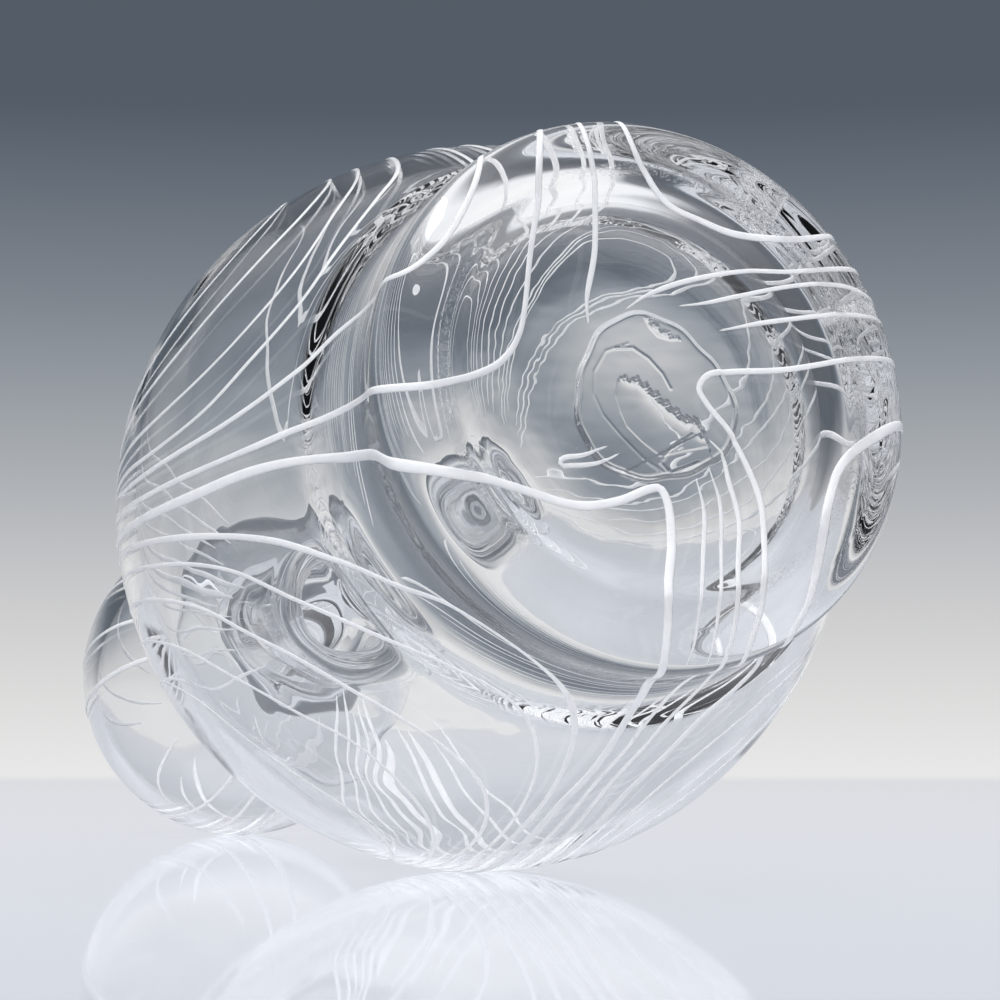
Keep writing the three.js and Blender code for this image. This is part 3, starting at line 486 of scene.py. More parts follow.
# The width of each thread on the vessel, and its route as places of reach and bearing
THREADS = {
    "long_trail_left": (1.3, [
        (204, 180), (168, 180), (146.5, 180), (126.5, 178.5), (100.5, 178), (84.5, 178.5), (74, 179.5),
        (61, 179.5), (51.5, 178.5), (44, 177), (38, 177), (29.5, 181.5), (24.5, 189), (22.5, 203.5),
        (30, 231), (39, 243), (46.5, 250), (57.5, 256), (73, 260), (91.5, 261), (126.5, 266),
        (168, 266.5), (196, 267.5)]),
    "long_trail_scar": (1.9, [
        (200, 175.5), (168, 176), (146.5, 176.5), (126.5, 175.5), (100.5, 174.5), (85.5, 174.5),
        (75.5, 173.5), (63.5, 170), (53, 166.5), (46, 162), (38, 155), (29.5, 144), (23, 124.5),
        (18.5, 108), (15.25, 89.5), (15.25, 83.5), (17.5, 81.5), (24.5, 85.5), (35, 92), (47.5, 92),
        (57.5, 88.5), (66.5, 86), (75, 86.5), (84.5, 88.5), (94, 91), (106.5, 92), (136.5, 93),
        (168, 93.5), (192, 94)]),
    "long_trail_hairpin": (1.2, [
        (207, 4), (168, 2), (116.5, 0), (87, 358), (57.5, 354), (46, 352), (37, 351), (24.5, 349.5),
        (16.25, 344.5), (12.25, 342.5), (10.25, 351.5), (11.25, 5), (15.25, 20.5), (19, 31.5),
        (25, 44.5), (31, 57), (38, 67), (46.5, 74), (57.5, 72), (67, 72), (76.5, 78), (89.5, 84),
        (106.5, 86), (134.5, 87.5), (168, 87), (198, 86.5)]),
    "heel_trail_right": (1.9, [
        (204, 13.5), (168, 10), (124.5, 7), (91.5, 8.5), (69, 9.5), (57.5, 8), (45, 6), (38, 12),
        (34, 21), (34, 32), (37, 45), (42, 56), (46.5, 63), (57.5, 59), (70.5, 55), (73.5, 60),
        (76.5, 67.5), (83, 74), (94, 80), (116.5, 83), (138.5, 84.5), (168, 83.5), (196, 82.5)]),
    "heel_trail_left": (1.1, [
        (138.5, 183), (126.5, 181.5), (97, 183), (84.5, 186), (75, 191), (66.5, 197.5), (55, 200.5),
        (45, 201.5), (41, 210), (41, 221), (45, 233), (57.5, 243), (73, 251.5), (88, 255), (106.5, 258),
        (128.5, 260), (168, 259.5), (200, 259.5)]),
    "heel_trail_top": (1.2, [
        (192, 282), (168, 279), (124.5, 277), (96.5, 275), (73, 272), (57.5, 270), (46, 268), (37, 270),
        (31.5, 278.5), (30.5, 290.5), (31.5, 303), (38, 317), (46, 322), (59.5, 324), (82, 322),
        (106.5, 328), (128.5, 334), (168, 332), (207, 329)]),
    "top_trail": (1.1, [
        (13.5, 233.5), (17, 240.5), (24, 252.5), (38, 257), (46.5, 259), (57.5, 263), (77.5, 267),
        (101.5, 269), (132.5, 271), (168, 272.5), (198, 274)]),
    "right_trail_1": (1, [
        (14, 263.5), (16.25, 276), (20.25, 293), (27.5, 311.5), (34, 323), (46, 331), (59.5, 334),
        (82, 335), (116.5, 341), (168, 340), (204, 338.5)]),
    "right_trail_2": (0.9, [
        (16.75, 297), (19.5, 307.5), (24.5, 317), (31.5, 325), (39, 332), (46, 338), (59.5, 342),
        (87, 345), (130.5, 345), (168, 344.5), (196, 344)]),
    "right_trail_3": (0.9, [
        (18, 322), (24.5, 330), (33.5, 337), (46, 343), (59.5, 347), (87, 350), (108.5, 352),
        (168, 352.5), (200, 353.5)]),
    "scar_trail_1": (1, [
        (13, 32.5), (16, 36.5), (19, 45.5), (25, 56.5), (32, 68.5), (39, 75), (46.5, 79), (57.5, 78.5),
        (68, 79.5), (78, 83), (89.5, 87), (106.5, 89), (122.5, 90)]),
    "scar_trail_2": (0.8, [
        (15.5, 47.5), (21, 57.5), (30, 72), (39, 80), (46, 83)]),
    "scar_trail_3": (0.8, [
        (15.5, 58.5), (20.75, 66), (28.5, 77), (37, 84), (46, 87.5)]),
    "scar_hairpin": (1, [
        (10.7, 127), (12.6, 132.1), (15.4, 137.7), (17.8, 142.3), (19.1, 142.5), (19.3, 140.4),
        (17.9, 137.3), (15.4, 130.5), (13, 122.8), (10.7, 115.2)]),
    "lower_swag_1": (1.2, [
        (192, 171), (168, 172.5), (142.5, 173.5), (126.5, 172.5), (100.5, 168), (84.5, 162), (74, 153),
        (66, 142.5), (59, 133.5), (56.5, 122.5), (59.5, 111.5), (67.5, 100.5), (77, 95), (92, 94),
        (108.5, 95), (142.5, 95.5), (168, 96.5), (207, 97.5)]),
    "lower_swag_2": (0.8, [
        (198, 166.5), (168, 168.5), (140, 170), (111.5, 166.5), (96, 161), (85, 151), (75.5, 136),
        (71.5, 124.5), (71, 114), (75, 105), (84.5, 99), (100.5, 97), (134.5, 98), (168, 99), (204, 101)]),
    "lower_swag_3": (0.9, [
        (196, 160.5), (168, 163.5), (144.5, 165.5), (122.5, 163.5), (107.5, 158.5), (98.5, 151),
        (92, 143), (88, 134), (86, 125), (87, 114.5), (93, 105), (104.5, 100.5), (120.5, 100),
        (144.5, 100.5), (168, 102), (200, 104)]),
    "lower_swag_4": (0.8, [
        (192, 152.5), (168, 156.5), (142.5, 159.5), (121.5, 156), (107.5, 146), (100.5, 136), (97, 127),
        (99.5, 117), (106.5, 109), (120.5, 103.5), (138.5, 103), (168, 105), (207, 107.5)]),
    "lower_swag_5": (0.8, [
        (198, 143), (168, 148.5), (146.5, 152.5), (135, 152), (123.5, 147), (117.5, 138), (114.5, 128),
        (114.5, 119), (119.5, 111.5), (132, 106.5), (146.5, 106), (168, 108.5), (204, 111.5)]),
    "upper_swag_1": (0.9, [
        (196, 185.5), (168, 184.5), (144.5, 184), (126.5, 184), (111.5, 184.5), (97, 187.5),
        (86.5, 194.5), (79, 205), (77.5, 217), (80.5, 232.5), (86.5, 242), (99, 248.5), (124.5, 254.5),
        (168, 253.5), (200, 252)]),
    "upper_swag_2": (0.8, [
        (192, 189.5), (168, 188), (138.5, 187), (123.5, 188), (108.5, 190.5), (97, 195), (88.5, 202.5),
        (84, 213), (86.5, 227), (94, 238), (108.5, 245.5), (132.5, 250.5), (168, 249), (207, 246.5)]),
    "upper_swag_3": (0.9, [
        (198, 195), (168, 192.5), (144.5, 191), (126.5, 193.5), (111.5, 199), (101, 208), (96, 218.5),
        (96.5, 228.5), (104, 238), (118.5, 244), (142.5, 247), (168, 245), (204, 242)]),
    "upper_swag_4": (0.8, [
        (196, 201), (168, 198), (140.5, 195.5), (125.5, 200), (114.5, 208), (108.5, 218), (110.5, 229),
        (120.5, 237), (136.5, 241), (168, 238), (200, 233.5)]),
    "far_swag_1": (0.9, [
        (89.5, 37.5), (84.5, 52.5), (87.5, 66), (96, 74), (108.5, 77.5), (132.5, 79.5), (168, 78),
        (192, 76)]),
    "far_swag_2": (0.8, [
        (207, 20.5), (168, 15.5), (136.5, 12), (116.5, 17), (103.5, 31), (98, 46.5), (102, 60),
        (110.5, 69.5), (122, 73.5), (142.5, 75), (168, 73), (198, 70)]),
}

# Threads on the ball: bearing, lean, lowest and highest latitude, and width
BALL_THREADS = [
    (90, 16, -56, 66, 1.5), (103, 13, -62, 52, 1.1), (118, 15, -50, 70, 1.2),
    (172, -12, -60, 58, 1.4), (190, -15, -48, 70, 1), (214, -13, -58, 62, 1.2),
]
BALL_THREAD_STEPS = 110

# Plain swags on the side away from the camera
BACK_SWAGS = 3
BACK_SWAG_BEARING = 299
BACK_SWAG_WIDTH = 0.9


def spline(points, spacing):
    """A smooth line through points, with places an even spacing apart."""
    p = np.asarray(points, float)
    p = np.concatenate([[2 * p[0] - p[1]], p, [2 * p[-1] - p[-2]]])
    fine = []
    for i in range(1, len(p) - 2):
        a, b, c, d = p[i - 1:i + 3]
        t0 = 0.0
        t1 = t0 + math.sqrt(np.linalg.norm(b - a))
        t2 = t1 + math.sqrt(np.linalg.norm(c - b))
        t3 = t2 + math.sqrt(np.linalg.norm(d - c))
        t = np.linspace(t1, t2, 24, endpoint=False)[:, None]
        ab = (t1 - t) / (t1 - t0) * a + (t - t0) / (t1 - t0) * b
        bc = (t2 - t) / (t2 - t1) * b + (t - t1) / (t2 - t1) * c
        cd = (t3 - t) / (t3 - t2) * c + (t - t2) / (t3 - t2) * d
        abc = (t2 - t) / (t2 - t0) * ab + (t - t0) / (t2 - t0) * bc
        bcd = (t3 - t) / (t3 - t1) * bc + (t - t1) / (t3 - t1) * cd
        fine.append((t2 - t) / (t2 - t1) * abc + (t - t1) / (t2 - t1) * bcd)
    line = np.concatenate(fine + [p[-2:-1]])
    length = np.concatenate([[0], np.cumsum(np.linalg.norm(np.diff(line, axis=0), axis=1))])
    at = np.linspace(0, length[-1], max(8, int(length[-1] / spacing)))
    return np.stack([np.interp(at, length, line[:, k]) for k in range(line.shape[1])], 1)


def on_skin(reach, bearing):
    """Places on the outside skin and the directions that point out of it."""
    radius = np.interp(reach, skin_reach, skin_line[:, 0])
    height = np.interp(reach, skin_reach, skin_line[:, 1])
    ar = np.interp(reach, skin_reach, skin_along[:, 0])
    az = np.interp(reach, skin_reach, skin_along[:, 1])
    point = np.stack([radius * np.cos(bearing), radius * np.sin(bearing), height], 1)
    out = np.stack([az * np.cos(bearing), az * np.sin(bearing), -ar], 1)
    out /= np.linalg.norm(out, axis=1, keepdims=True)
    under = reach < FOOT_RING_RADIUS - 2
    relief = np.clip(scar_relief(point[:, 0], point[:, 1]), -THREAD_DIP, None)
    return point + out * np.where(under, relief, 0)[:, None], out


def walk(route):
    """Even steps along a route, drawn as a smooth line in the unrolled skin."""
    table = np.array(route, float)
    angle = np.radians(table[:, 1])
    flat = np.stack([table[:, 0] * np.cos(angle), table[:, 0] * np.sin(angle)], 1)
    line = spline(flat, THREAD_STEP)
    return on_skin(np.hypot(line[:, 0], line[:, 1]), np.arctan2(line[:, 1], line[:, 0]))


def bead(point, out, width, seed):
    """A flattened round thread that lies half sunk in the skin, with pulled tips."""
    count = len(point)
    along = np.gradient(point, axis=0)
    along /= np.linalg.norm(along, axis=1, keepdims=True)
    across = np.cross(out, along)
    across /= np.linalg.norm(across, axis=1, keepdims=True)
    step = np.linalg.norm(np.diff(point, axis=0), axis=1)
    at = np.concatenate([[0], np.cumsum(step)])
    tip = np.minimum(at, at[-1] - at)
    swell = TIP_SHARE + (1 - TIP_SHARE) * smooth_step(tip, 0, min(TIP_LENGTH, at[-1] / 3))
    swell = swell * np.sqrt(np.clip(tip / (0.4 * width) + 0.02, 0, 1))
    wander = np.array([noise.noise(Vector((a / 14, seed * 2.3, 0.5))) for a in at])
    half = THREAD_HALF * width * swell * (1 + THREAD_WANDER * wander)
    sides = THREAD_SIDES
    angle = np.arange(sides) / sides * 2 * math.pi
    side = np.cos(angle)[None, :, None] * half[:, None, None] * across[:, None, :]
    lift = (THREAD_RISE * np.sin(angle)[None, :, None] + THREAD_LIFT) * half[:, None, None] * out[:, None, :]
    rings = point[:, None, :] + side + lift
    rings[..., 2] = np.maximum(rings[..., 2], 0)
    vertices = rings.reshape(-1, 3)
    faces = []
    for i in range(count - 1):
        for j in range(sides):
            k = (j + 1) % sides
            faces.append((i * sides + j, i * sides + k, (i + 1) * sides + k, (i + 1) * sides + j))
    faces.append(tuple(reversed(range(sides))))
    faces.append(tuple((count - 1) * sides + j for j in range(sides)))
    return vertices, faces


def on_ball(latitude, bearing):
    """Places on the ball and the directions that point out of it."""
    flat, up = np.cos(latitude), np.sin(latitude)
    c, s = np.cos(bearing), np.sin(bearing)
    point = BALL_RADIUS * np.stack([flat * c, flat * s, BALL_SQUASH * up], 1)
    point[:, 2] += BALL_HEIGHT
    out = np.stack([flat * c, flat * s, up / BALL_SQUASH], 1)
    return point, out / np.linalg.norm(out, axis=1, keepdims=True)


def nodes_named(stem):
    """CAD nodes of a thread, which is in several runs where it crosses the foot ring."""
    found = []
    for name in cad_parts:
        rest = name[len(stem):]
        if name.startswith(stem) and (rest == "" or (rest[0] == "_" and rest[1:].isdigit())):
            found.append(name)
    return found


def back_swag(i):
    """Route of a plain swag: down one side, round its low bend and up the other."""
    half = 15 - 1.6 * i
    legs = [(136.5 + 4 * i, half), (168, 13.5 - 2.8 * i), (200 - 4 * i, 12 - 4 * i)]
    down = [(reach, BACK_SWAG_BEARING - away) for reach, away in reversed(legs)]
    bend = []
    for step in range(-3, 4):
        angle = math.radians(step / 3 * 80)
        bend.append((72.5 + 15 * i + 22 * (1 - math.cos(angle)), BACK_SWAG_BEARING + half * math.sin(angle)))
    return down + bend + [(reach, BACK_SWAG_BEARING + away) for reach, away in legs]


def make_threads(material):
    for seed, (name, (width, route)) in enumerate(THREADS.items()):
        point, out = walk(route)
        made = new_mesh("thread_" + name, *bead(point, out, width, seed), material)
        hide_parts(*nodes_named(name))
        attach(made, "decanter")
    for i in range(BACK_SWAGS):
        point, out = walk(back_swag(i))
        made = new_mesh(f"thread_back_swag_{i + 1}", *bead(point, out, BACK_SWAG_WIDTH, 40 + i), material)
        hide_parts(f"back_swag_{i + 1}")
        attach(made, "decanter")
    for i, (bearing, lean, start, end, width) in enumerate(BALL_THREADS):
        latitude = np.radians(np.linspace(start, end, BALL_THREAD_STEPS))
        point, out = on_ball(latitude, np.radians(bearing + lean * np.sin(latitude)))
        made = new_mesh(f"thread_ball_trail_{i + 1}", *bead(point, out, width, 60 + i), material)
        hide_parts(f"ball_trail_{i + 1}")
        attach(made, "stopper")


# Materials

def new_material(name):
    material = bpy.data.materials.new(name)
    material.use_nodes = True
    tree = material.node_tree
    return material, tree, tree.nodes["Principled BSDF"]


def add(tree, kind, **inputs):
    """A node with some of its inputs set."""
    node = tree.nodes.new(kind)
    for key, value in inputs.items():
        node.inputs[key].default_value = value
    return node


def ranged(tree, value, low, high, smooth=False, first=0, last=1):
    """A value from first to last while another one goes from low to high."""
    node = tree.nodes.new("ShaderNodeMapRange")
    if smooth:
        node.interpolation_type = "SMOOTHSTEP"
    node.inputs["From Min"].default_value = low
    node.inputs["From Max"].default_value = high
    node.inputs["To Min"].default_value = first
    node.inputs["To Max"].default_value = last
    tree.links.new(value, node.inputs["Value"])
    return node.outputs["Result"]


def noise_share(tree, where, scale, detail, low, high, stretch=(1, 1, 1)):
    """Procedural noise on the object, turned into a share from 0 to 1 between two levels."""
    mapping = add(tree, "ShaderNodeMapping", Scale=stretch)
    tree.links.new(where, mapping.inputs["Vector"])
    texture = add(tree, "ShaderNodeTexNoise", Scale=scale, Detail=detail, Roughness=0.6)
    tree.links.new(mapping.outputs["Vector"], texture.inputs["Vector"])
    return ranged(tree, texture.outputs["Fac"], low, high, smooth=True)


def combine(tree, operation, a, b=0):
    """Arithmetic on two values, each a number or another node's output."""
    node = tree.nodes.new("ShaderNodeMath")
    node.operation = operation
    for socket, value in zip(node.inputs, (a, b)):
        if isinstance(value, (int, float)):
            socket.default_value = value
        else:
            tree.links.new(value, socket)
    return node.outputs[0]


def blend(tree, share, first, second):
    """A colour between two, by a share."""
    node = tree.nodes.new("ShaderNodeMix")
    node.data_type = "RGBA"
    tree.links.new(share, node.inputs["Factor"])
    node.inputs[6].default_value = (*first, 1)
    node.inputs[7].default_value = (*second, 1)
    return node.outputs[2]


GLASS_IOR = 1.5
WORN_SIDE = (0.87, -0.5)
LEAST_WEAR = 0.12


def ring_mask(tree, place, radius, width, height):
    """1 on a flat band round the axis at the foot, 0 past its edges, and weak on the less worn side."""
    parts = tree.nodes.new("ShaderNodeSeparateXYZ")
    tree.links.new(place, parts.inputs[0])
    across = combine(tree, "POWER", parts.outputs["X"], 2)
    deep = combine(tree, "POWER", parts.outputs["Y"], 2)
    from_axis = combine(tree, "SQRT", combine(tree, "ADD", across, deep))
    off = combine(tree, "ABSOLUTE", combine(tree, "SUBTRACT", from_axis, radius * MM))
    band = ranged(tree, off, width * MM, 0.5 * width * MM)
    low = combine(tree, "LESS_THAN", parts.outputs["Z"], height * MM)
    toward = combine(tree, "ADD", combine(tree, "MULTIPLY", parts.outputs["X"], WORN_SIDE[0]),
                     combine(tree, "MULTIPLY", parts.outputs["Y"], WORN_SIDE[1]))
    side = ranged(tree, toward, -0.1 * radius * MM, 0.9 * radius * MM, first=LEAST_WEAR)
    return combine(tree, "MULTIPLY", combine(tree, "MULTIPLY", band, low), side)


def clear_glass():
    """Clear glass with faint grey streaks, hardly seen smears and a worn foot ring."""
    material, tree, shader = new_material("clear_blown_glass")
    place = tree.nodes.new("ShaderNodeTexCoord").outputs["Object"]
    streaks = noise_share(tree, place, scale=34, detail=3, low=0.35, high=0.7, stretch=(1, 1, 3.2))
    tint = blend(tree, streaks, (0.995, 0.998, 1.0), (0.972, 0.980, 0.984))
    tree.links.new(tint, shader.inputs["Base Color"])
    shader.inputs["Transmission Weight"].default_value = 1
    shader.inputs["IOR"].default_value = GLASS_IOR
    worn = ring_mask(tree, place, FOOT_RING_RADIUS, width=1.25, height=0.3)
    specks = noise_share(tree, place, scale=2400, detail=2, low=0.54, high=0.64)
    scuffs = noise_share(tree, place, scale=900, detail=4, low=0.52, high=0.74)
    wear = combine(tree, "MULTIPLY", worn, combine(tree, "MAXIMUM", specks, scuffs))
    smears = noise_share(tree, place, scale=60, detail=5, low=0.62, high=0.86)
    rough = combine(tree, "ADD", combine(tree, "MULTIPLY", wear, 0.30),
                    combine(tree, "MULTIPLY", smears, 0.012))
    tree.links.new(rough, shader.inputs["Roughness"])
    swells = add(tree, "ShaderNodeTexNoise", Scale=85, Detail=1, Roughness=0.4)
    tree.links.new(place, swells.inputs["Vector"])
    bump = add(tree, "ShaderNodeBump", Strength=0.12, Distance=0.0002)
    tree.links.new(swells.outputs["Fac"], bump.inputs["Height"])
    pits = add(tree, "ShaderNodeBump", Strength=0.4, Distance=0.0001)
    tree.links.new(wear, pits.inputs["Height"])
    tree.links.new(bump.outputs["Normal"], pits.inputs["Normal"])
    tree.links.new(pits.outputs["Normal"], shader.inputs["Normal"])
    return material


def white_glass():
    """Opal white glass, a little uneven and slightly translucent."""
    material, tree, shader = new_material("white_trailed_glass")
    place = tree.nodes.new("ShaderNodeTexCoord").outputs["Object"]
    streaks = noise_share(tree, place, scale=220, detail=3, low=0.35, high=0.75)
    tint = blend(tree, streaks, (0.90, 0.915, 0.945), (0.82, 0.84, 0.88))
    tree.links.new(tint, shader.inputs["Base Color"])
    uneven = noise_share(tree, place, scale=400, detail=4, low=0.3, high=0.8)
    rough = combine(tree, "ADD", combine(tree, "MULTIPLY", uneven, 0.14), 0.16)
    tree.links.new(rough, shader.inputs["Roughness"])
    shader.inputs["IOR"].default_value = GLASS_IOR
    shader.inputs["Subsurface Weight"].default_value = 0.6
    shader.inputs["Subsurface Radius"].default_value = (1, 1, 1)
    shader.inputs["Subsurface Scale"].default_value = 0.002
    swells = add(tree, "ShaderNodeTexNoise", Scale=700, Detail=2, Roughness=0.5)
    tree.links.new(place, swells.inputs["Vector"])
    bump = add(tree, "ShaderNodeBump", Strength=0.15, Distance=0.0001)
    tree.links.new(swells.outputs["Fac"], bump.inputs["Height"])
    tree.links.new(bump.outputs["Normal"], shader.inputs["Normal"])
    return material


# Stage

# The camera and the table's plane, fitted to the photograph
CAMERA_PLACE = Vector((-0.172198, 0.116675, -0.360193))
CAMERA_RIGHT = Vector((0.9318, 0.0651, -0.3570))
CAMERA_FORWARD = Vector((0.3618, -0.2432, 0.9000))
LENS = 97.35
SENSOR_WIDTH = 36
TABLE_UP = Vector((0, -0.98380, -0.17928))
TABLE_DEPTH = 0.0786
# The table's reach from below the camera: behind it, to each side, and ahead to where it has faded
TABLE_NEAR = -5.0
TABLE_SIDE = 5.0
TABLE_FAR = 1.235
TABLE_FADE = 1.06
# The table's colour, paler near the camera and greyer far from it. It also colours the table's glow, where
# the greying is painted light that dims into the distance
TABLE_TINTS_AND_PAINTED_GLOW = ((0.30, (0.90, 0.93, 1.0)), (1.15, (0.80, 0.81, 0.85)))
# Its pale glow is painted light in place of lamplight on it, set by how grazing the look is and dimmer where
# the look is steep; how much of it is matt instead, and its reflection
TABLE_GRAZING = (0.1, 0.62)
TABLE_PAINTED_GLOW = (0.50, 0.94)
TABLE_MATT = 0.16
TABLE_MIRROR = 0.55


def make_camera():
    """The photograph's camera."""
    camera = bpy.data.objects.new("camera", bpy.data.cameras.new("camera"))
    bpy.context.scene.collection.objects.link(camera)
    forward = CAMERA_FORWARD.normalized()
    right = (CAMERA_RIGHT - CAMERA_RIGHT.dot(forward) * forward).normalized()
    up = right.cross(forward)
    turn = Matrix((right, up, -forward)).transposed().to_4x4()
    camera.matrix_world = Matrix.Translation(CAMERA_PLACE) @ turn
    camera.data.lens = LENS
    camera.data.sensor_width = SENSOR_WIDTH
    camera.data.clip_start = 0.01
    camera.data.clip_end = 50
    bpy.context.scene.camera = camera


def along_axis(tree, value, axis):
    """How far a place lies, or a direction points, along an axis."""
    node = tree.nodes.new("ShaderNodeVectorMath")
    node.operation = "DOT_PRODUCT"
    node.inputs[1].default_value = axis
    tree.links.new(value, node.inputs[0])
    return node.outputs["Value"]


def mixed(tree, share, first, second):
    """Two shaders mixed by a share, a number or another node's output."""
    node = tree.nodes.new("ShaderNodeMixShader")
    if isinstance(share, (int, float)):
        node.inputs[0].default_value = share
    else:
        tree.links.new(share, node.inputs[0])
    tree.links.new(first.outputs[0], node.inputs[1])
    tree.links.new(second.outputs[0], node.inputs[2])
    return node


def make_table():
    """A glossy pale table under the lying decanter. Its glow is painted light in place of lamplight on it,
    and only a small matt share of it is lit by the lamps. It is seen from above only, and its far edge
    fades.
    """
    up = TABLE_UP.normalized()
    ahead = (CAMERA_FORWARD - CAMERA_FORWARD.dot(up) * up).normalized()
    side = ahead.cross(up)
    middle = CAMERA_PLACE - (CAMERA_PLACE.dot(up) + TABLE_DEPTH) * up
    corners = [middle + a * ahead + s * side
               for a, s in ((TABLE_NEAR, -TABLE_SIDE), (TABLE_NEAR, TABLE_SIDE),
                            (TABLE_FAR, TABLE_SIDE), (TABLE_FAR, -TABLE_SIDE))]
    material = bpy.data.materials.new("table")
    material.use_nodes = True
    tree = material.node_tree
    tree.nodes.clear()
    out = tree.nodes.new("ShaderNodeOutputMaterial")
    geometry = tree.nodes.new("ShaderNodeNewGeometry")
    along = along_axis(tree, geometry.outputs["Position"], ahead)
    start = middle.dot(ahead)
    (near, near_tint), (far, far_tint) = TABLE_TINTS_AND_PAINTED_GLOW
    colour = blend(tree, ranged(tree, along, start + near, start + far), near_tint, far_tint)
    grazing = add(tree, "ShaderNodeLayerWeight", Blend=0.5).outputs["Facing"]
    # Painted light: the table glows in place of lamplight on it, in its own colour
    painted_glow = tree.nodes.new("ShaderNodeEmission")
    tree.links.new(colour, painted_glow.inputs["Color"])
    # Painted light too: the glow is dimmer where the look down on the table is steep
    painted_glow_strength = ranged(tree, grazing, *TABLE_GRAZING, first=TABLE_PAINTED_GLOW[0], last=TABLE_PAINTED_GLOW[1])
    tree.links.new(painted_glow_strength, painted_glow.inputs["Strength"])
    matt = tree.nodes.new("ShaderNodeBsdfDiffuse")
    tree.links.new(colour, matt.inputs["Color"])
    base = mixed(tree, TABLE_MATT, painted_glow, matt)
    gloss = add(tree, "ShaderNodeBsdfGlossy", Color=(0.95, 0.97, 1, 1), Roughness=0.04)
    mirror = combine(tree, "MULTIPLY", combine(tree, "POWER", grazing, 2), TABLE_MIRROR)
    top = mixed(tree, mirror, base, gloss)
    fade = ranged(tree, along, start + TABLE_FADE, start + TABLE_FAR, smooth=True)
    hidden = combine(tree, "MAXIMUM", geometry.outputs["Backfacing"], fade)
    shown = mixed(tree, hidden, top, tree.nodes.new("ShaderNodeBsdfTransparent"))
    tree.links.new(shown.outputs[0], out.inputs[0])
    mesh = bpy.data.meshes.new("table")
    mesh.from_pydata([tuple(c) for c in corners], [], [(0, 1, 2, 3)])
    if mesh.polygons[0].normal.dot(up) < 0:
        mesh.flip_normals()
    mesh.materials.append(material)
    table = bpy.data.objects.new("table", mesh)
    bpy.context.scene.collection.objects.link(table)


# Light of the studio by the sine of the height above the table's level: the backdrop ahead, which
# darkens upwards, and the room at the sides and behind, with a large soft ceiling over all
BACKDROP = [(-1.0, (0.80, 0.82, 0.86)), (-0.022, (0.807, 0.807, 0.807)), (0.006, (0.716, 0.716, 0.712)),
            (0.039, (0.604, 0.604, 0.612)), (0.078, (0.442, 0.460, 0.484)), (0.117, (0.306, 0.332, 0.362)),
            (0.15, (0.215, 0.238, 0.273)), (0.187, (0.140, 0.164, 0.198)), (0.22, (0.088, 0.108, 0.136)),
            (0.44, (0.095, 0.107, 0.128)), (0.68, (0.12, 0.132, 0.15)), (0.82, (0.30, 0.31, 0.33)),
            (0.90, (0.92, 0.94, 0.98)), (1.0, (1.0, 1.0, 1.0))]
SIDES = [(-1.0, (0.62, 0.64, 0.68)), (0.0, (0.44, 0.45, 0.465)), (0.12, (0.22, 0.235, 0.26)),
         (0.25, (0.10, 0.115, 0.135)), (0.60, (0.10, 0.11, 0.125)), (0.80, (0.20, 0.21, 0.23)),
         (0.90, (0.90, 0.92, 0.96)), (1.0, (1.0, 1.0, 1.0))]
BEHIND = [(-1.0, (0.62, 0.64, 0.68)), (0.0, (0.34, 0.35, 0.37)), (0.10, (0.14, 0.15, 0.165)),
          (0.45, (0.08, 0.085, 0.095)), (0.70, (0.10, 0.105, 0.115)), (0.84, (0.35, 0.36, 0.38)),
          (0.92, (0.95, 0.97, 1.0)), (1.0, (1.0, 1.0, 1.0))]
# Shares of the way ahead between which the room turns from behind to the sides, and to the backdrop
SIDES_FROM = (-0.45, 0.05)
BACKDROP_FROM = (0.68, 0.90)
LAMP_TARGET = Vector((0, 0, 0.09))


def colour_ramp(tree, value, stops):
    """Colours by a value from -1 to 1."""
    ramp = tree.nodes.new("ShaderNodeValToRGB")
    elements = ramp.color_ramp.elements
    for i, (level, colour) in enumerate(stops):
        at = (level + 1) / 2
        element = elements[i] if i < 2 else elements.new(at)
        element.position = at
        element.color = (*colour, 1)
    tree.links.new(ranged(tree, value, -1, 1), ramp.inputs[0])
    return ramp.outputs["Color"]


def faded(tree, share, first, second):
    """One colour output faded into another by a share."""
    node = tree.nodes.new("ShaderNodeMix")
    node.data_type = "RGBA"
    tree.links.new(share, node.inputs["Factor"])
    tree.links.new(first, node.inputs[6])
    tree.links.new(second, node.inputs[7])
    return node.outputs[2]


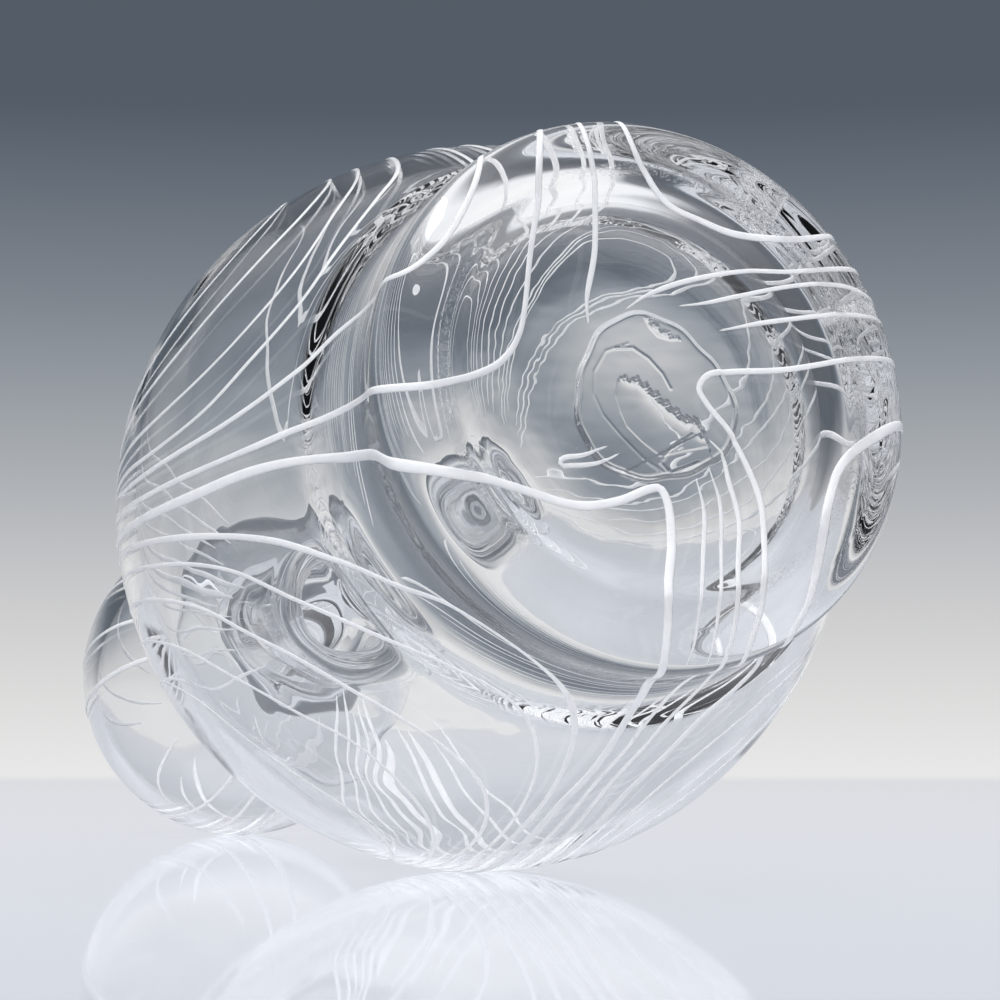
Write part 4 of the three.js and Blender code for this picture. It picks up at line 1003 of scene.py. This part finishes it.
def make_world():
    """The studio round the decanter, as light by direction."""
    world = bpy.data.worlds.new("studio")
    bpy.context.scene.world = world
    world.use_nodes = True
    tree = world.node_tree
    tree.nodes.clear()
    up = TABLE_UP.normalized()
    ahead = (CAMERA_FORWARD - CAMERA_FORWARD.dot(up) * up).normalized()
    direction = tree.nodes.new("ShaderNodeTexCoord").outputs["Generated"]
    height = along_axis(tree, direction, up)
    forward = along_axis(tree, direction, ahead)
    room = faded(tree, ranged(tree, forward, *SIDES_FROM, smooth=True),
                 colour_ramp(tree, height, BEHIND), colour_ramp(tree, height, SIDES))
    studio = faded(tree, ranged(tree, forward, *BACKDROP_FROM, smooth=True),
                   room, colour_ramp(tree, height, BACKDROP))
    ground = tree.nodes.new("ShaderNodeBackground")
    tree.links.new(studio, ground.inputs["Color"])
    out = tree.nodes.new("ShaderNodeOutputWorld")
    tree.links.new(ground.outputs[0], out.inputs[0])


def add_softbox(name, place, size, power, mirrored=False):
    """A large lamp for the white glass and the table. It isn't seen through the clear glass."""
    lamp = bpy.data.lights.new(name, "AREA")
    lamp.shape = "RECTANGLE"
    lamp.size, lamp.size_y = size
    lamp.energy = power
    made = bpy.data.objects.new(name, lamp)
    bpy.context.scene.collection.objects.link(made)
    made.location = place
    made.rotation_euler = (LAMP_TARGET - Vector(place)).to_track_quat("-Z", "Y").to_euler()
    made.visible_transmission = False
    made.visible_glossy = mirrored
    made.visible_camera = False


# The clear glass casts no shadow, so that the threads behind it are as white as those in front
glass = clear_glass()
white = white_glass()
vessel = make_vessel(glass)
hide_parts("vessel")
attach(vessel, "decanter")
vessel.visible_shadow = False
stopper = make_stopper(glass)
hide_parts("stopper")
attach(stopper, "stopper")
stopper.visible_shadow = False
make_threads(white)
make_camera()
make_table()
make_world()
add_softbox("front", place=(-0.35, -0.55, -0.85), size=(0.8, 0.8), power=9)
add_softbox("key", place=(-0.55, -1.05, -0.35), size=(0.35, 0.9), power=4, mirrored=True)
add_softbox("top", place=(0.1, -1.2, 0.3), size=(0.9, 0.9), power=14)
# Light crosses many walls of glass
scene = bpy.context.scene
scene.view_settings.view_transform = "Standard"
scene.cycles.max_bounces = 32
scene.cycles.transmission_bounces = 32
scene.cycles.glossy_bounces = 16
scene.cycles.transparent_max_bounces = 16
